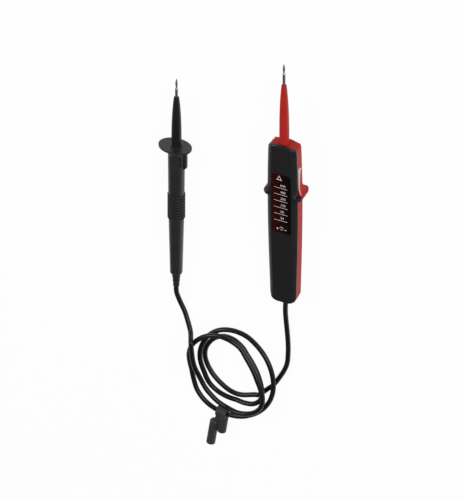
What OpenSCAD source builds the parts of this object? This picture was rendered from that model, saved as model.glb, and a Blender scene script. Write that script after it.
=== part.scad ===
// Two-pole voltage tester, lying on its back on a table.
// Millimetres. X runs across the two tools, Y towards the test tips, Z up from the table.
// The origin is on the table, under the middle of the two tools.

/* [Display unit] */
// Length of the housing without the tip
unit_length = 176; // [165:1:190]
// Width of the housing at the cable end
unit_tail_w = 24.1; // [24:0.1:26]
// Width of the housing at the finger guard
unit_guard_w = 28.6; // [27.5:0.1:30]
// Width of the housing at the tip end
unit_top_w = 26.4; // [26:0.1:27.4]
// Thickness of the housing
unit_depth = 14.8; // [14.8:0.1:16]
// Depth of the black front cover
cover_depth = 5; // [5:0.1:5.2]
// Wall of both shells
shell_wall = 1.8; // [1.6:0.1:1.9]

/* [Finger guard] */
// Distance of the guard from the tip end of the housing
guard_drop = 57.5; // [54:0.5:71]
// Thickness of the guard's rim
guard_rim = 2.8; // [2:0.1:4]
// How far the guard stands out at the sides
guard_side = 5; // [3.5:0.1:6]
// How far the guard stands out at the back
guard_back = 7; // [5:0.1:9]
// Length of the scooped slope on the tip side
guard_scoop = 11; // [8:0.5:14]

/* [Display] */
// Length of the dark window
window_l = 65.5; // [60:0.5:67]
// Width of the dark window
window_w = 18.2; // [16:0.1:18.4]
// Distance of the window from the tip end of the housing
window_drop = 31.5; // [28:0.5:34]
// Pitch of the voltage lamps
lamp_pitch = 7.3; // [6.5:0.1:7.5]
// Number of voltage lamps
lamp_count = 6; // [4:1:7]
// Diameter of a lamp
lamp_d = 3; // [2:0.1:3.2]
// Length of the pale strip in the right flank
side_window_l = 28; // [20:0.5:32]
// Width of the pale strip
side_window_w = 4.4; // [3:0.1:4.6]

/* [Test tips] */
// Length of the bare tip of the display unit
unit_tip_l = 22.7; // [18:0.1:26]
// Length of the red sleeve
unit_sleeve_l = 63.3; // [50:0.1:70]
// Diameter of the red sleeve at the housing
unit_sleeve_d = 8.7; // [8:0.1:8.8]
// Length of the bare tip of the second probe
probe_tip_l = 19.5; // [16:0.1:22]
// Length of the black sleeve
probe_sleeve_l = 54.2; // [45:0.1:60]
// Diameter of the black sleeve at the guard
probe_sleeve_d = 8.9; // [8.4:0.1:9.2]
// Diameter of a sleeve at its tip end
sleeve_end_d = 4.5; // [4.4:0.1:5]
// Diameter of a bare tip
tip_d = 2.6; // [2.5:0.1:2.8]

/* [Second probe] */
// Length of the handle up to the face of its guard
probe_length = 140.3; // [136:0.1:150]
// Diameter of the handle behind the guard
probe_d = 14.9; // [14.2:0.1:15.4]
// Diameter of the handle at the cable end
probe_tail_d = 11; // [10.6:0.1:11.4]
// Width of the oval guard
probe_guard_w = 30.5; // [28:0.5:34]
// Height of the oval guard
probe_guard_h = 21; // [20.4:0.1:24]
// Thickness of the oval guard
probe_guard_t = 2; // [1.6:0.1:3]
// Length of the ribbed grip ring
grip_l = 27.5; // [22:0.5:30]
// Distance of the grip ring from the cable end
grip_y = 61.7; // [58:0.1:66]
// Number of ribs on the grip ring
grip_ribs = 9; // [6:1:10]
// Length of the strain relief
boot_l = 14.6; // [12:0.1:18]

/* [Cable] */
// Diameter of the cable
cable_d = 4.5; // [4.3:0.1:4.6]
// Mean reach of a loop from the middle of the coil
coil_reach = 40; // [39:0.5:41]

/* [Tip cap] */
// Outer diameter of a cap tube
cap_d = 8; // [7.6:0.1:8.2]
// Length of the longer cap tube
cap_l = 26.6; // [24:0.1:28]
// Length of the shorter cap tube
cap_short_l = 18.5; // [17:0.1:20]
// Distance of the longer tube's mouth beyond the shorter one's
cap_stagger = 17.1; // [15:0.1:18]
// Distance between the middles of the two tubes
cap_pitch = 8.2; // [8:0.1:9]

/* [Layout] */
// Distance between the middles of the two tools
pair_gap = 105; // [100:0.5:110]
// How far the second probe's tip lies behind the unit's tip
probe_setback = 55.6; // [50:0.1:60]

/* [Hidden] */

// Smoothness of round parts, and of the small ones
round_fn = 64;
small_fn = 32;
// Overrun of a cut past the face that it opens
cut = 0.5;
// Running clearance round a shaft, and clearance round a seated piece
fit_gap = 0.05;
seat_gap = 0.2;

// Housing: rounded corners in plan and in section
corner_steps = 8;
tail_corner = 6;
top_corner_w = 10;
top_corner_l = 5;
back_corner = 5;
end_soft = 1.5;
cover_bevel_w = 4.5;
cover_bevel_h = 3.2;
cover_proud = 0.8;
guard_slant = 0.4;
guard_y = unit_length - guard_drop;
window_y = unit_length - window_drop - window_l;
seam_z = -cover_depth;
axis_z = -unit_depth / 2;
tail_shares = [0, 0.1, 0.25, 0.5, 1];
grip_shares = [0.25, 0.5, 0.75, 1];
scoop_shares = [1, 0.97, 0.9, 0.8, 0.65, 0.5, 0.35, 0.2, 0.1, 0];
top_shares = [1, 0.6, 0.3, 0.1, 0];

// Space inside the housing, and its openings
cavity_w = unit_tail_w - 2 * shell_wall;
cavity_corner = 3.5;
cavity_y = 8;
top_wall = 4.2;
cavity_end = unit_length - top_wall;
floor_z = shell_wall - unit_depth;
window_step = 1.2;
window_ledge = 2;
window_corner = 2;
side_margin = 4;
side_t = 1;
side_drop = 0.8;
side_y = guard_y + side_margin;
// Shares of the strip's width at the guard end, where its slant ends, and at the tip end
side_shares = [0.25, 1, 0.8];

// Board and screws
board_t = 1.6;
board_gap = 1.8;
board_z = seam_z - board_gap;
board_low = board_z - board_t;
board_y = 28;
board_margin = 16;
board_end = unit_length - board_margin;
screw_y = 38;
screw_margin = 24;
screw_places = [screw_y, unit_length - screw_margin];
screw_d = 2.1;
screw_head_d = 4.6;
screw_head_h = 2;
screw_hole_d = 2.6;
boss_d = 7;
cover_boss_d = 5;

// Lamps: the voltage row, two for polarity and one for phase
lamp_h = 4.1;
lamp_x = -3;
row_margin = 12.3;
polarity_x = 4.4;
lamp_margin = 6;

// Parts on the board
resistor_small_d = 3.6;
resistor_small_l = 12;
resistor_small_x = 5;
thermistor_d = 10;
thermistor_t = 3.6;
thermistor_y = 27;
chip_w = 10;
chip_l = 7;
chip_t = 1.6;
chip_pitch = 14;
chip_y = 36;
wire_d = 0.8;

// Bare tip: pointed head, waist and rod
tip_point_d = 0.5;
tip_head_l = 9;
tip_head_d = 2.2;
tip_waist_d = 1.4;
tip_waist_l = 0.4;
tip_shoulder = 1.4;
rod_d = 2;
unit_rod_in = 10;
contact_l = 3;
contact_d = 5;

// Sleeves
sleeve_bend = 2.9;
sleeve_steps = 14;
sleeve_lip = 0.5;
collar_d = 10.4;
collar_l = 2.4;

// Cable inside the unit and its clamp
unit_cable_z = -8.6;
unit_cable_in = 26;
clamp_y = 13;
clamp_l = 6;
clamp_w = 15;
clamp_t = 2.4;
clamp_screw_x = 5.2;
clamp_screw_d = 1.8;
clamp_screw_head = 3.2;

// Second probe
probe_guard_shift = -1.2;
probe_flare_d = 18.5;
probe_flare_l = 4.5;
probe_neck_d = 8.2;
probe_neck_l = 5;
probe_boss_d = 10;
probe_boss_l = 1.4;
probe_mid_d = 13.6;
probe_upper_d = 14.3;
probe_bore_d = 6.4;
probe_tail_round = 1;
grip_d = 15.7;
grip_groove = 0.5;
grip_seat_d = 12.6;
rib_shares = [0, 0.25, 0.6, 0.85];
rib_w = 2.6;
rib_out = 2.7;
rib_l = 21.4;
slot_w = 1.9;
slot_l = 10.8;
slot_deep = 1.2;
slot_angle = 40;
slot_drop = 11.3;
boot_shares = [0, 0.32, 0.36, 0.66, 0.7, 1];
boot_d = 7.2;
boot_end_d = 5.6;
boot_plug_l = 8;
resistor_d = 5.2;
resistor_l = 16;
resistor_y = 92;
resistor_lead = 4;
crimp_d = 3.4;
crimp_l = 9;

// Cap
eye_r = 4.8;
eye_l = 9.4;
eye_bore_d = 5.4;
eye_turn = 2;
cap_neck = 3;
cap_shift = 2.3;
cap_round = 2.6;
cap_bore_d = 3.4;
cap_floor = 2.6;
cap_mouth_d = 5.2;
cap_mouth_l = 3;
web_t = 3;
web_foot = 7;
web_rib_h = 0.6;
web_rib_w = 0.9;
web_rib_pitch = 3;
web_rib_angle = 30;
web_ribs = 4;

// Cable: its strands, and the route of its free ends, point by point on the table
cable_r = cable_d / 2;
lead_sides = 8;
coil_sides = 6;
strand_gap = 0.75;
over = cable_d + strand_gap;
unit_route = [[50.4, -133, 4.7], [50.3, -142, 3.4], [50.8, -151, 2.5], [51.8, -161, 2.25], [52.7, -171, 2.25],
              [53.1, -181, 2.25], [52.5, -193.5, 2.25], [49.9, -202.5, 2.25], [45.5, -212, 2.25],
              [40, -222, 2.25], [34, -229, 2.25]];
probe_route = [[-53.7, -151.5, 4], [-51, -160, 3], [-46.5, -169, 3], [-42.5, -178, 4.4], [-38.5, -187, 7]];

// Coil: middle, first ring, rings in a loop and in all, and its reach every eighth of a turn
coil_x = 0.1;
coil_y = -221;
coil_start = 148;
loop_rings = 24;
coil_rings = 84;
coil_table_start = 145;
coil_table_step = 45;
coil_reach_shares = [2.02, 1.03, 0.75, 0.77, 0.97, 0.98, 0.73, 0.75, 1.06, 1.06, 0.97, 1.135, 1.145, 1.055,
                     1.06, 1.13, 1.15, 0.87, 0.645, 0.67, 0.69, 0.87, 0.705, 0.69, 0.925, 0.78, 0.55, 0.48,
                     0.575, 0.725, 1.15];
// The ring before the cap's eye, how soon a strand can cross itself, and the shape of a hump
eye_ring = 31;
crossing_lag = 8;
hump_shares = [1, 0.93, 0.75, 0.5, 0.25];
hump_reach = 4;
samples = 4;

// The unit rests on its guard and its cable end, the probe on its guard and its grip ring
unit_tilt = atan2(guard_back, guard_y - end_soft);
unit_lift = unit_depth * cos(unit_tilt) - end_soft * sin(unit_tilt);
grip_touch = grip_y + rib_shares[1] * grip_l / grip_ribs;
probe_tilt = atan2((probe_guard_h - grip_d) / 2, probe_length - probe_guard_t - grip_touch);
probe_lift = grip_d / 2 * cos(probe_tilt) - grip_touch * sin(probe_tilt);
unit_total = unit_length + unit_sleeve_l + unit_tip_l;
probe_total = probe_length + probe_sleeve_l + probe_tip_l;
unit_half_w = unit_guard_w / 2 + guard_side;
probe_half_w = probe_guard_w / 2 - probe_guard_shift;
unit_x = (pair_gap - unit_half_w + probe_half_w) / 2;
probe_x = unit_x - pair_gap;
top_y = (probe_setback + (probe_total + boot_l) * cos(probe_tilt) + boot_end_d / 2 * sin(probe_tilt)) / 2;
unit_y = top_y - unit_total * cos(unit_tilt) + axis_z * sin(unit_tilt);
probe_y = top_y - probe_setback - probe_total * cos(probe_tilt);

// Places of the two tools on the table
module place_unit() {
    translate([unit_x, unit_y, unit_lift]) rotate([unit_tilt, 0, 0]) children();
}

module place_probe() {
    translate([probe_x, probe_y, probe_lift]) rotate([probe_tilt, 0, 0]) children();
}

// The same places for a point on a tool's own axis or cable
function tilted(p, tilt) = [p.x, p.y * cos(tilt) - p.z * sin(tilt), p.y * sin(tilt) + p.z * cos(tilt)];
function unit_at(p) = [unit_x, unit_y, unit_lift] + tilted(p, unit_tilt);
function probe_at(p) = [probe_x, probe_y, probe_lift] + tilted(p, probe_tilt);

// Points of an elliptical arc round a centre
function arc(cx, cy, rx, ry, from, to, steps) =
    [for (i = [0 : steps]) let (a = from + (to - from) * i / steps) [cx + rx * cos(a), cy + ry * sin(a)]];

// Outline of a rectangle with rounded corners, centred on x and running up from y = 0
function round_rect(w, h, r) = concat(
    arc(w / 2 - r, r, r, r, -90, 0, corner_steps), arc(w / 2 - r, h - r, r, r, 0, 90, corner_steps),
    arc(r - w / 2, h - r, r, r, 90, 180, corner_steps), arc(r - w / 2, r, r, r, 180, 270, corner_steps));

// Skin of triangles over rings of points, closed at both ends
module skin(rings) {
    n = len(rings[0]);
    top = n * (len(rings) - 1);
    points = [for (ring = rings) for (p = ring) p];
    walls = [for (k = [0 : n : top - n]) for (j = [0 : n - 1])
        let (a = k + j, b = k + (j + 1) % n)
        for (face = [[a, b + n, b], [a, a + n, b + n]]) face];
    ends = [for (j = [1 : n - 2]) for (face = [[0, j, j + 1], [top, top + j + 1, top + j]]) face];
    polyhedron(points, concat(walls, ends), convexity = 10);
}

// Turns a shape's Z axis to Y
module along_y() {
    rotate([-90, 0, 0]) children();
}

// Screw with a flat head, running up from the underside of its head
module screw(d, l, head_d, head_h) {
    cylinder(h = l, d = d, $fn = small_fn);
    translate([0, 0, -head_h]) cylinder(h = head_h, d = head_d, $fn = small_fn);
}

// Half the housing's width at a distance from the cable end, before its corners are rounded
function unit_half(y) = y < guard_y
    ? (unit_tail_w + (unit_guard_w - unit_tail_w) * sin(90 * y / guard_y)) / 2
    : (unit_top_w + (unit_guard_w - unit_top_w) * cos(90 * (y - guard_y) / guard_drop)) / 2;

// What the rounded corners take off the half width near each end of a housing of length l
function corner_cut(y, l) =
    (y < tail_corner ? tail_corner * (1 - sqrt(1 - pow(1 - y / tail_corner, 2))) : 0)
    + (y > l - top_corner_l ? top_corner_w * (1 - sqrt(1 - pow((y - l) / top_corner_l + 1, 2))) : 0);

// What the rounded ends take off the depth
function soft_cut(y, l) = let (d = min(y, l - y))
    d < end_soft ? end_soft - sqrt(max(0, end_soft * end_soft - pow(end_soft - d, 2))) : 0;

// Stations along a housing of length l: distance from the cable end, and rise of the guard
function stations(l) = concat(
    [for (s = tail_shares) [s * tail_corner, 0]],
    [for (s = grip_shares) [s * (guard_y - guard_slant), 0]],
    [[guard_y, 1]],
    [for (s = scoop_shares) [guard_y + guard_rim + guard_scoop * (1 - s), 1 - sqrt(1 - s * s)]],
    [[(guard_y + guard_rim + guard_scoop + l - top_corner_l) / 2, 0]],
    [for (s = top_shares) [l - top_corner_l * s, 0]]);

// Section of the red rear shell
function shell_ring(y, rise, l) = let (
    half = unit_half(y) + guard_side * rise - corner_cut(y, l),
    low = -unit_depth - guard_back * rise + soft_cut(y, l),
    r = min(back_corner, half / 2))
    [for (p = concat([[half, seam_z]], arc(half - r, low + r, r, r, 0, -90, corner_steps),
        arc(r - half, low + r, r, r, -90, -180, corner_steps), [[-half, seam_z]])) [p.x, y, p.y]];

// Section of the black front cover
function cover_ring(y, rise, l) = let (
    half = unit_half(y) + guard_side * rise - corner_cut(y, l),
    high = -soft_cut(y, l),
    rx = min(cover_bevel_w, half / 2),
    rz = cover_bevel_h + high)
    [for (p = concat([[-half, seam_z]], arc(rx - half, high - rz, rx, rz, 180, 90, corner_steps),
        arc(half - rx, high - rz, rx, rz, 90, 0, corner_steps), [[half, seam_z]])) [p.x, y, p.y]];

module shell_body() {
    l = unit_length - cover_proud;
    skin([for (s = stations(l)) shell_ring(s[0], s[1], l)]);
}

// Space inside the housing between two heights
module cavity(low, high) {
    translate([0, cavity_end, low]) rotate([90, 0, 0])
        linear_extrude(cavity_end - cavity_y) polygon(round_rect(cavity_w, high - low, cavity_corner));
}

// Hole for the sleeve in the top wall
module sleeve_seat() {
    translate([0, cavity_end - cut, axis_z]) along_y()
        cylinder(h = top_wall + 2 * cut, d = unit_sleeve_d + 2 * fit_gap, $fn = round_fn);
}

// Tapered strip through the right flank, grown by a clearance
module side_strip(gap) {
    top = seam_z - side_drop;
    y0 = side_y - gap;
    y1 = side_y + side_window_l + gap;
    low = [for (s = side_shares) top - s * side_window_w - gap];
    side_x = min(unit_half(side_y), unit_half(side_y + side_window_l)) - side_t;
    translate([side_x - gap, 0, 0]) rotate([90, 0, 90]) linear_extrude(2 * guard_side + side_t)
        polygon([[y0, top + gap], [y0, low[0]], [y1 - side_window_w / 2, low[1]], [y1, low[2]],
            [y1, top + gap]]);
}

module rear_shell() {
    color("#a32c24") place_unit() difference() {
        union() {
            difference() {
                shell_body();
                cavity(floor_z, -floor_z);
                sleeve_seat();
                side_strip(fit_gap);
            }
            for (y = screw_places) translate([0, y, floor_z - cut])
                cylinder(h = board_low - fit_gap - floor_z + cut, d = boss_d, $fn = small_fn);
            translate([-clamp_w / 2, clamp_y - clamp_l / 2, floor_z - cut])
                cube([clamp_w, clamp_l, unit_cable_z - floor_z + cut]);
        }
        translate([0, -cut, unit_cable_z]) along_y()
            cylinder(h = clamp_y + clamp_l, d = cable_d + 2 * fit_gap, $fn = round_fn);
        for (y = screw_places) translate([0, y, -unit_depth - cut]) {
            cylinder(h = unit_depth, d = screw_hole_d, $fn = small_fn);
            cylinder(h = screw_head_h + 2 * cut, d = screw_head_d + 2 * seat_gap, $fn = small_fn);
        }
        for (x = [-clamp_screw_x, clamp_screw_x]) translate([x, clamp_y, floor_z + cut])
            cylinder(h = unit_depth, d = clamp_screw_d, $fn = small_fn);
    }
}

module front_cover() {
    color("#1e1d1f") place_unit() difference() {
        union() {
            difference() {
                skin([for (s = stations(unit_length)) cover_ring(s[0], s[1], unit_length)]);
                cavity(2 * seam_z, -shell_wall);
                sleeve_seat();
            }
            for (y = screw_places) translate([0, y, board_z + fit_gap])
                cylinder(h = cut - board_z - shell_wall - fit_gap, d = cover_boss_d, $fn = small_fn);
        }
        translate([0, window_y, -window_step]) linear_extrude(window_step + cut)
            polygon(round_rect(window_w, window_l, window_corner));
        translate([0, window_y + window_ledge, seam_z]) linear_extrude(cover_depth + cut)
            polygon(round_rect(window_w - 2 * window_ledge, window_l - 2 * window_ledge, window_corner));
        for (y = screw_places) translate([0, y, board_z - cut])
            cylinder(h = -board_z - shell_wall, d = screw_d + 2 * fit_gap, $fn = small_fn);
    }
}

module display_window() {
    color("#2a0808") place_unit() translate([0, window_y + fit_gap, fit_gap - window_step])
        linear_extrude(window_step - fit_gap)
            polygon(round_rect(window_w - 2 * fit_gap, window_l - 2 * fit_gap, window_corner - fit_gap));
}

module side_window() {
    color("#c9bdb8") place_unit() intersection() {
        shell_body();
        side_strip(0);
    }
}

// Radius of a sleeve at a share of its length from the tip end
function sleeve_r(share, base_d) =
    (sleeve_end_d + (base_d - sleeve_end_d) * (1 - pow(1 - share, sleeve_bend))) / 2;

// Outer line of a sleeve of length l, from a height above its base up to its tip end
function sleeve_line(l, base_d, from) = concat(
    [[sleeve_r(1 - from / l, base_d), from]],
    [for (i = [sleeve_steps - 1 : -1 : 1]) let (s = i / sleeve_steps)
        if (l * (1 - s) > from) [sleeve_r(s, base_d), l * (1 - s)]],
    [[sleeve_end_d / 2, l - sleeve_lip], [sleeve_end_d / 2 - sleeve_lip, l], [rod_d / 2 + fit_gap, l]]);

module unit_sleeve() {
    in = top_wall + collar_l + seat_gap;
    color("#a42c24") place_unit() translate([0, unit_length, axis_z]) along_y() rotate_extrude($fn = round_fn)
        polygon(concat([[rod_d / 2 + fit_gap, -in], [collar_d / 2, -in], [collar_d / 2, collar_l - in],
            [unit_sleeve_d / 2, collar_l - in]], sleeve_line(unit_sleeve_l, unit_sleeve_d, 0)));
}

// Bare tip of length l with a rod that runs on below it
module contact_tip(l, rod_l) {
    rotate_extrude($fn = small_fn) polygon([
        [0, -rod_l], [rod_d / 2, -rod_l], [rod_d / 2, 0], [tip_d / 2, 0],
        [tip_d / 2, l - tip_head_l - tip_waist_l - tip_shoulder],
        [tip_waist_d / 2, l - tip_head_l - tip_waist_l], [tip_waist_d / 2, l - tip_head_l],
        [tip_head_d / 2, l - 0.64 * tip_head_l], [tip_head_d / 2, l - 0.5 * tip_head_l],
        [tip_point_d, l - 0.1 * tip_head_l], [tip_point_d / 2, l], [0, l]]);
}

module unit_tip() {
    color("silver") place_unit() translate([0, unit_length + unit_sleeve_l, axis_z]) along_y()
        contact_tip(unit_tip_l, unit_sleeve_l + top_wall + unit_rod_in);
}

module circuit_board() {
    color("#2d6b3c") place_unit() difference() {
        translate([0, board_y, board_low]) linear_extrude(board_t)
            polygon(round_rect(cavity_w - 2 * seat_gap, board_end - board_y, window_corner));
        for (y = screw_places) translate([0, y, board_low - cut])
            cylinder(h = board_t + 2 * cut, d = screw_hole_d, $fn = small_fn);
    }
}

// One lamp standing on the board
module lamp(x, y) {
    translate([x, y, board_z]) {
        cylinder(h = lamp_h - lamp_d / 2, d = lamp_d, $fn = small_fn);
        translate([0, 0, lamp_h - lamp_d / 2]) sphere(d = lamp_d, $fn = small_fn);
    }
}

module lamps() {
    color("#c8322a") place_unit() {
        for (i = [0 : lamp_count - 1]) lamp(lamp_x, window_y + row_margin + i * lamp_pitch);
        for (x = [-polarity_x, polarity_x]) lamp(x, window_y + lamp_margin);
        lamp(lamp_x, window_y + window_l - lamp_margin);
    }
}

// Resistor lying along Y, its two wires turned up where they have a height
module resistor(d, l, lead_l, lead_up) {
    along_y() cylinder(h = l, d = d, center = true, $fn = small_fn);
    for (s = [-1, 1]) {
        translate([0, s * (l + lead_l) / 2, 0]) along_y()
            cylinder(h = lead_l + wire_d, d = wire_d, center = true, $fn = small_fn);
        if (lead_up > 0) translate([0, s * (l / 2 + lead_l), 0])
            cylinder(h = lead_up, d = wire_d, $fn = small_fn);
    }
}

module series_resistors() {
    drop = resistor_small_d / 2 + seat_gap;
    y = board_end - resistor_small_l - resistor_small_d;
    color("#8a6a48") place_unit() for (x = [-resistor_small_x, resistor_small_x])
        translate([x, y, board_low - drop])
            resistor(resistor_small_d, resistor_small_l, resistor_small_d / 2, drop);
}

module load_thermistor() {
    color("#4a5a80") place_unit() translate([0, board_y + thermistor_y, board_low - thermistor_t])
        cylinder(h = thermistor_t, d = thermistor_d, $fn = round_fn);
}

module driver_chips() {
    color("#202020") place_unit() for (i = [0, 1])
        translate([-chip_w / 2, board_y + chip_y + i * chip_pitch, board_low - chip_t])
            cube([chip_w, chip_l, chip_t]);
}

module tip_contact() {
    rod_end = cavity_end - unit_rod_in;
    strap_y = board_end - contact_d;
    color("goldenrod") place_unit() difference() {
        union() {
            translate([0, rod_end, axis_z]) along_y() cylinder(h = contact_l, d = contact_d, $fn = small_fn);
            translate([-contact_d / 2, strap_y, board_z])
                cube([contact_d, rod_end + contact_l - strap_y, wire_d]);
        }
        translate([0, rod_end - cut, axis_z]) along_y()
            cylinder(h = contact_l + 2 * cut, d = rod_d + 2 * fit_gap, $fn = small_fn);
    }
}

module case_screws() {
    seat_z = screw_head_h + cut - unit_depth;
    color("dimgray") place_unit() for (y = screw_places) translate([0, y, seat_z])
        screw(screw_d, -seat_z - 2 * shell_wall, screw_head_d, screw_head_h);
}

module cable_clamp() {
    low = unit_cable_z + fit_gap;
    color("#303030") place_unit() difference() {
        translate([-clamp_w / 2, clamp_y - clamp_l / 2, low]) cube([clamp_w, clamp_l, clamp_t]);
        translate([0, clamp_y - clamp_l, unit_cable_z]) along_y()
            cylinder(h = 2 * clamp_l, d = cable_d + 2 * fit_gap, $fn = round_fn);
        for (x = [-clamp_screw_x, clamp_screw_x]) translate([x, clamp_y, low - cut])
            cylinder(h = clamp_t + 2 * cut, d = clamp_screw_d + 2 * fit_gap, $fn = small_fn);
    }
}

module clamp_screws() {
    color("dimgray") place_unit() for (x = [-clamp_screw_x, clamp_screw_x])
        translate([x, clamp_y, unit_cable_z + fit_gap + clamp_t]) mirror([0, 0, 1])
            screw(clamp_screw_d - 2 * fit_gap, clamp_t + 2 * cut, clamp_screw_head, wire_d);
}

module unit_cable_tail() {
    color("#262626") place_unit() translate([0, 0, unit_cable_z]) along_y()
        cylinder(h = unit_cable_in, d = cable_d, $fn = round_fn);
}

// Outline of the handle, a body of revolution from its cable end to the boss above the guard
module handle_line() {
    under = probe_length - probe_guard_t;
    polygon(concat([[0, 0], [probe_tail_d / 2 - probe_tail_round, 0]],
        arc(probe_tail_d / 2 - probe_tail_round, probe_tail_round, probe_tail_round, probe_tail_round, -90, 0,
            corner_steps),
        [[probe_mid_d / 2, grip_y], [grip_seat_d / 2, grip_y], [grip_seat_d / 2, grip_y + grip_l],
         [probe_upper_d / 2, grip_y + grip_l], [probe_d / 2, under - probe_flare_l],
         [probe_flare_d / 2, under],
         [probe_flare_d / 2, under + probe_guard_t / 2], [probe_boss_d / 2, under + probe_guard_t / 2],
         [probe_boss_d / 2, probe_length + probe_boss_l], [0, probe_length + probe_boss_l]]));
}

module probe_handle() {
    under = probe_length - probe_guard_t;
    color("#252525") place_probe() difference() {
        union() {
            along_y() rotate_extrude($fn = round_fn) handle_line();
            translate([probe_guard_shift, under, 0]) along_y() linear_extrude(probe_guard_t)
                polygon(arc(0, 0, probe_guard_w / 2, probe_guard_h / 2, 0, 360 - 360 / round_fn,
                    round_fn - 1));
            translate([probe_d / 2 - rib_w, under - rib_l, -rib_w / 2]) linear_extrude(rib_w)
                polygon([[0, 0], [rib_w, 0], [rib_w + rib_out, rib_out], [rib_w + rib_out, rib_l + cut],
                    [0, rib_l + cut]]);
        }
        rotate([0, -slot_angle, 0])
            translate([probe_d / 2 - slot_deep, under - slot_drop - slot_l / 2, -slot_w / 2])
                cube([rib_out, slot_l, slot_w]);
        translate([0, -cut, 0]) along_y()
            cylinder(h = resistor_y + resistor_l + 2 * resistor_lead, d = probe_bore_d, $fn = round_fn);
        along_y() cylinder(h = probe_total, d = rod_d + 2 * fit_gap, $fn = small_fn);
    }
}

// Ribbed ring, a body of revolution with raised ribs between shallow grooves
module probe_grip() {
    pitch = (grip_l - 2 * fit_gap) / grip_ribs;
    low = grip_d / 2 - grip_groove;
    color("#2b2b2b") place_probe() translate([0, grip_y + fit_gap, 0]) along_y()
        rotate_extrude($fn = round_fn) polygon(concat([[grip_seat_d / 2 + fit_gap, 0]],
            [for (i = [0 : grip_ribs - 1]) for (j = [0 : 3])
                [j == 0 || j == 3 ? low : grip_d / 2, (i + rib_shares[j]) * pitch]],
            [[low, grip_ribs * pitch], [grip_seat_d / 2 + fit_gap, grip_ribs * pitch]]));
}

module probe_sleeve() {
    color("#1c1c1c") place_probe() translate([0, probe_length + probe_boss_l, 0]) along_y()
        rotate_extrude($fn = round_fn) polygon(concat(
            [[rod_d / 2 + fit_gap, 0], [probe_neck_d / 2, 0], [probe_neck_d / 2, probe_neck_l]],
            sleeve_line(probe_sleeve_l - probe_boss_l, probe_sleeve_d, probe_neck_l)));
}

module probe_tip() {
    rod_end = resistor_y + resistor_l + resistor_lead + wire_d;
    color("silver") place_probe() translate([0, probe_length + probe_sleeve_l, 0]) along_y()
        contact_tip(probe_tip_l, probe_length + probe_sleeve_l - rod_end);
}

module probe_resistor() {
    color("#7a5a40") place_probe() translate([0, resistor_y + resistor_l / 2, 0])
        resistor(resistor_d, resistor_l, resistor_lead, 0);
}

module probe_crimp() {
    color("goldenrod") place_probe() translate([0, resistor_y - crimp_l, 0]) along_y() difference() {
        cylinder(h = crimp_l - seat_gap, d = crimp_d, $fn = small_fn);
        translate([0, 0, crimp_l / 2 - cut]) cylinder(h = crimp_l, d = wire_d + 2 * fit_gap, $fn = small_fn);
    }
}

module probe_boot() {
    steps = [for (i = [0 : len(boot_shares) - 1]) let (k = floor(i / 2) / 2)
        [(boot_d + (boot_end_d - boot_d) * k) / 2, -boot_shares[i] * boot_l]];
    color("#202020") place_probe() along_y() rotate_extrude($fn = round_fn) polygon(concat(
        [[cable_r + fit_gap, -boot_l], [cable_r + fit_gap, boot_plug_l],
         [probe_bore_d / 2 - fit_gap, boot_plug_l], [probe_bore_d / 2 - fit_gap, 0]], steps));
}

module probe_cable_tail() {
    color("#262626") place_probe() translate([0, -boot_l, 0]) along_y()
        cylinder(h = boot_l + resistor_y - crimp_l - seat_gap, d = cable_d, $fn = round_fn);
}

// Tube of a number of sides along a path, its rings square to the path
module tube(path, sides) {
    last = len(path) - 1;
    skin([for (i = [0 : last]) let (
        way = path[min(i + 1, last)] - path[max(i - 1, 0)],
        t = way / norm(way),
        side = cross(t, [0, 0, 1]) / norm(cross(t, [0, 0, 1])),
        up = cross(side, t))
        [for (j = [0 : sides - 1]) let (a = 360 * j / sides)
            path[i] + cable_r * (cos(a) * side - sin(a) * up)]]);
}

// Reach of the coil at an angle, smooth through the table of shares
function reach(a) = let (
    u = (a - coil_table_start) / coil_table_step,
    k = floor(u),
    t = u - k,
    p = [for (m = [0 : 3]) coil_reach_shares[k + m]])
    coil_reach * (2 * p[1] + (p[2] - p[0]) * t + (2 * p[0] - 5 * p[1] + 4 * p[2] - p[3]) * t * t
    + (3 * (p[1] - p[2]) + p[3] - p[0]) * t * t * t) / 2;

// Place of a ring of the coil on the table
function coil_at(i) = let (a = coil_start + 360 * i / loop_rings)
    [coil_x + reach(a) * cos(a), coil_y + reach(a) * sin(a)];

// Plan of the coil from the unit's end: place and least height of each ring, with straight ends
function straight_on(a, b) = b + cable_d * (b - a) / norm(b - a);
function coil_plan() = let (
    rings = [for (i = [coil_rings - 1 : -1 : 0])
        let (p = coil_at(i), high = i == eye_ring || i == eye_ring + 1)
        [p.x, p.y, high ? eye_r : cable_r]],
    last = coil_rings - 1)
    concat([straight_on(rings[1], rings[0])], rings, [straight_on(rings[last - 1], rings[last])]);

// Sample points of the strand between two rings
function strand(a, b) = [for (s = [0 : samples - 1]) a + (b - a) * s / samples];

// Least height at which ring m lies clear on the strands below it
function needed(plan, low, m) = max([plan[m].z,
    for (a = [plan[max(m - 1, 0)], plan[min(m + 1, len(plan) - 1)]]) for (p = strand(plan[m], a))
        for (q = low) let (d = norm([p.x - q.x, p.y - q.y]))
            if (d < over) q.z + sqrt(over * over - d * d)]);

// Heights of the rings, laid from the unit's end, each strand in long humps over those below it
function settle(plan, low, zs, needs) = let (
    k = len(zs),
    last = len(plan) - 1,
    more = [for (m = [len(needs) : 1 : min(k + hump_reach, last)]) needed(plan, low, m)],
    now = concat(needs, more))
    k > last ? zs : let (
        z = max([for (m = [max(k - hump_reach, 0) : min(k + hump_reach, last)])
            cable_r + hump_shares[abs(m - k)] * (now[m] - cable_r)]),
        j = k + hump_reach - crossing_lag,
        laid = j > 0 ? strand([plan[j - 1].x, plan[j - 1].y, zs[j - 1]], [plan[j].x, plan[j].y, zs[j]]) : [])
    settle(plan, concat(low, laid), concat(zs, [z]), now);

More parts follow.
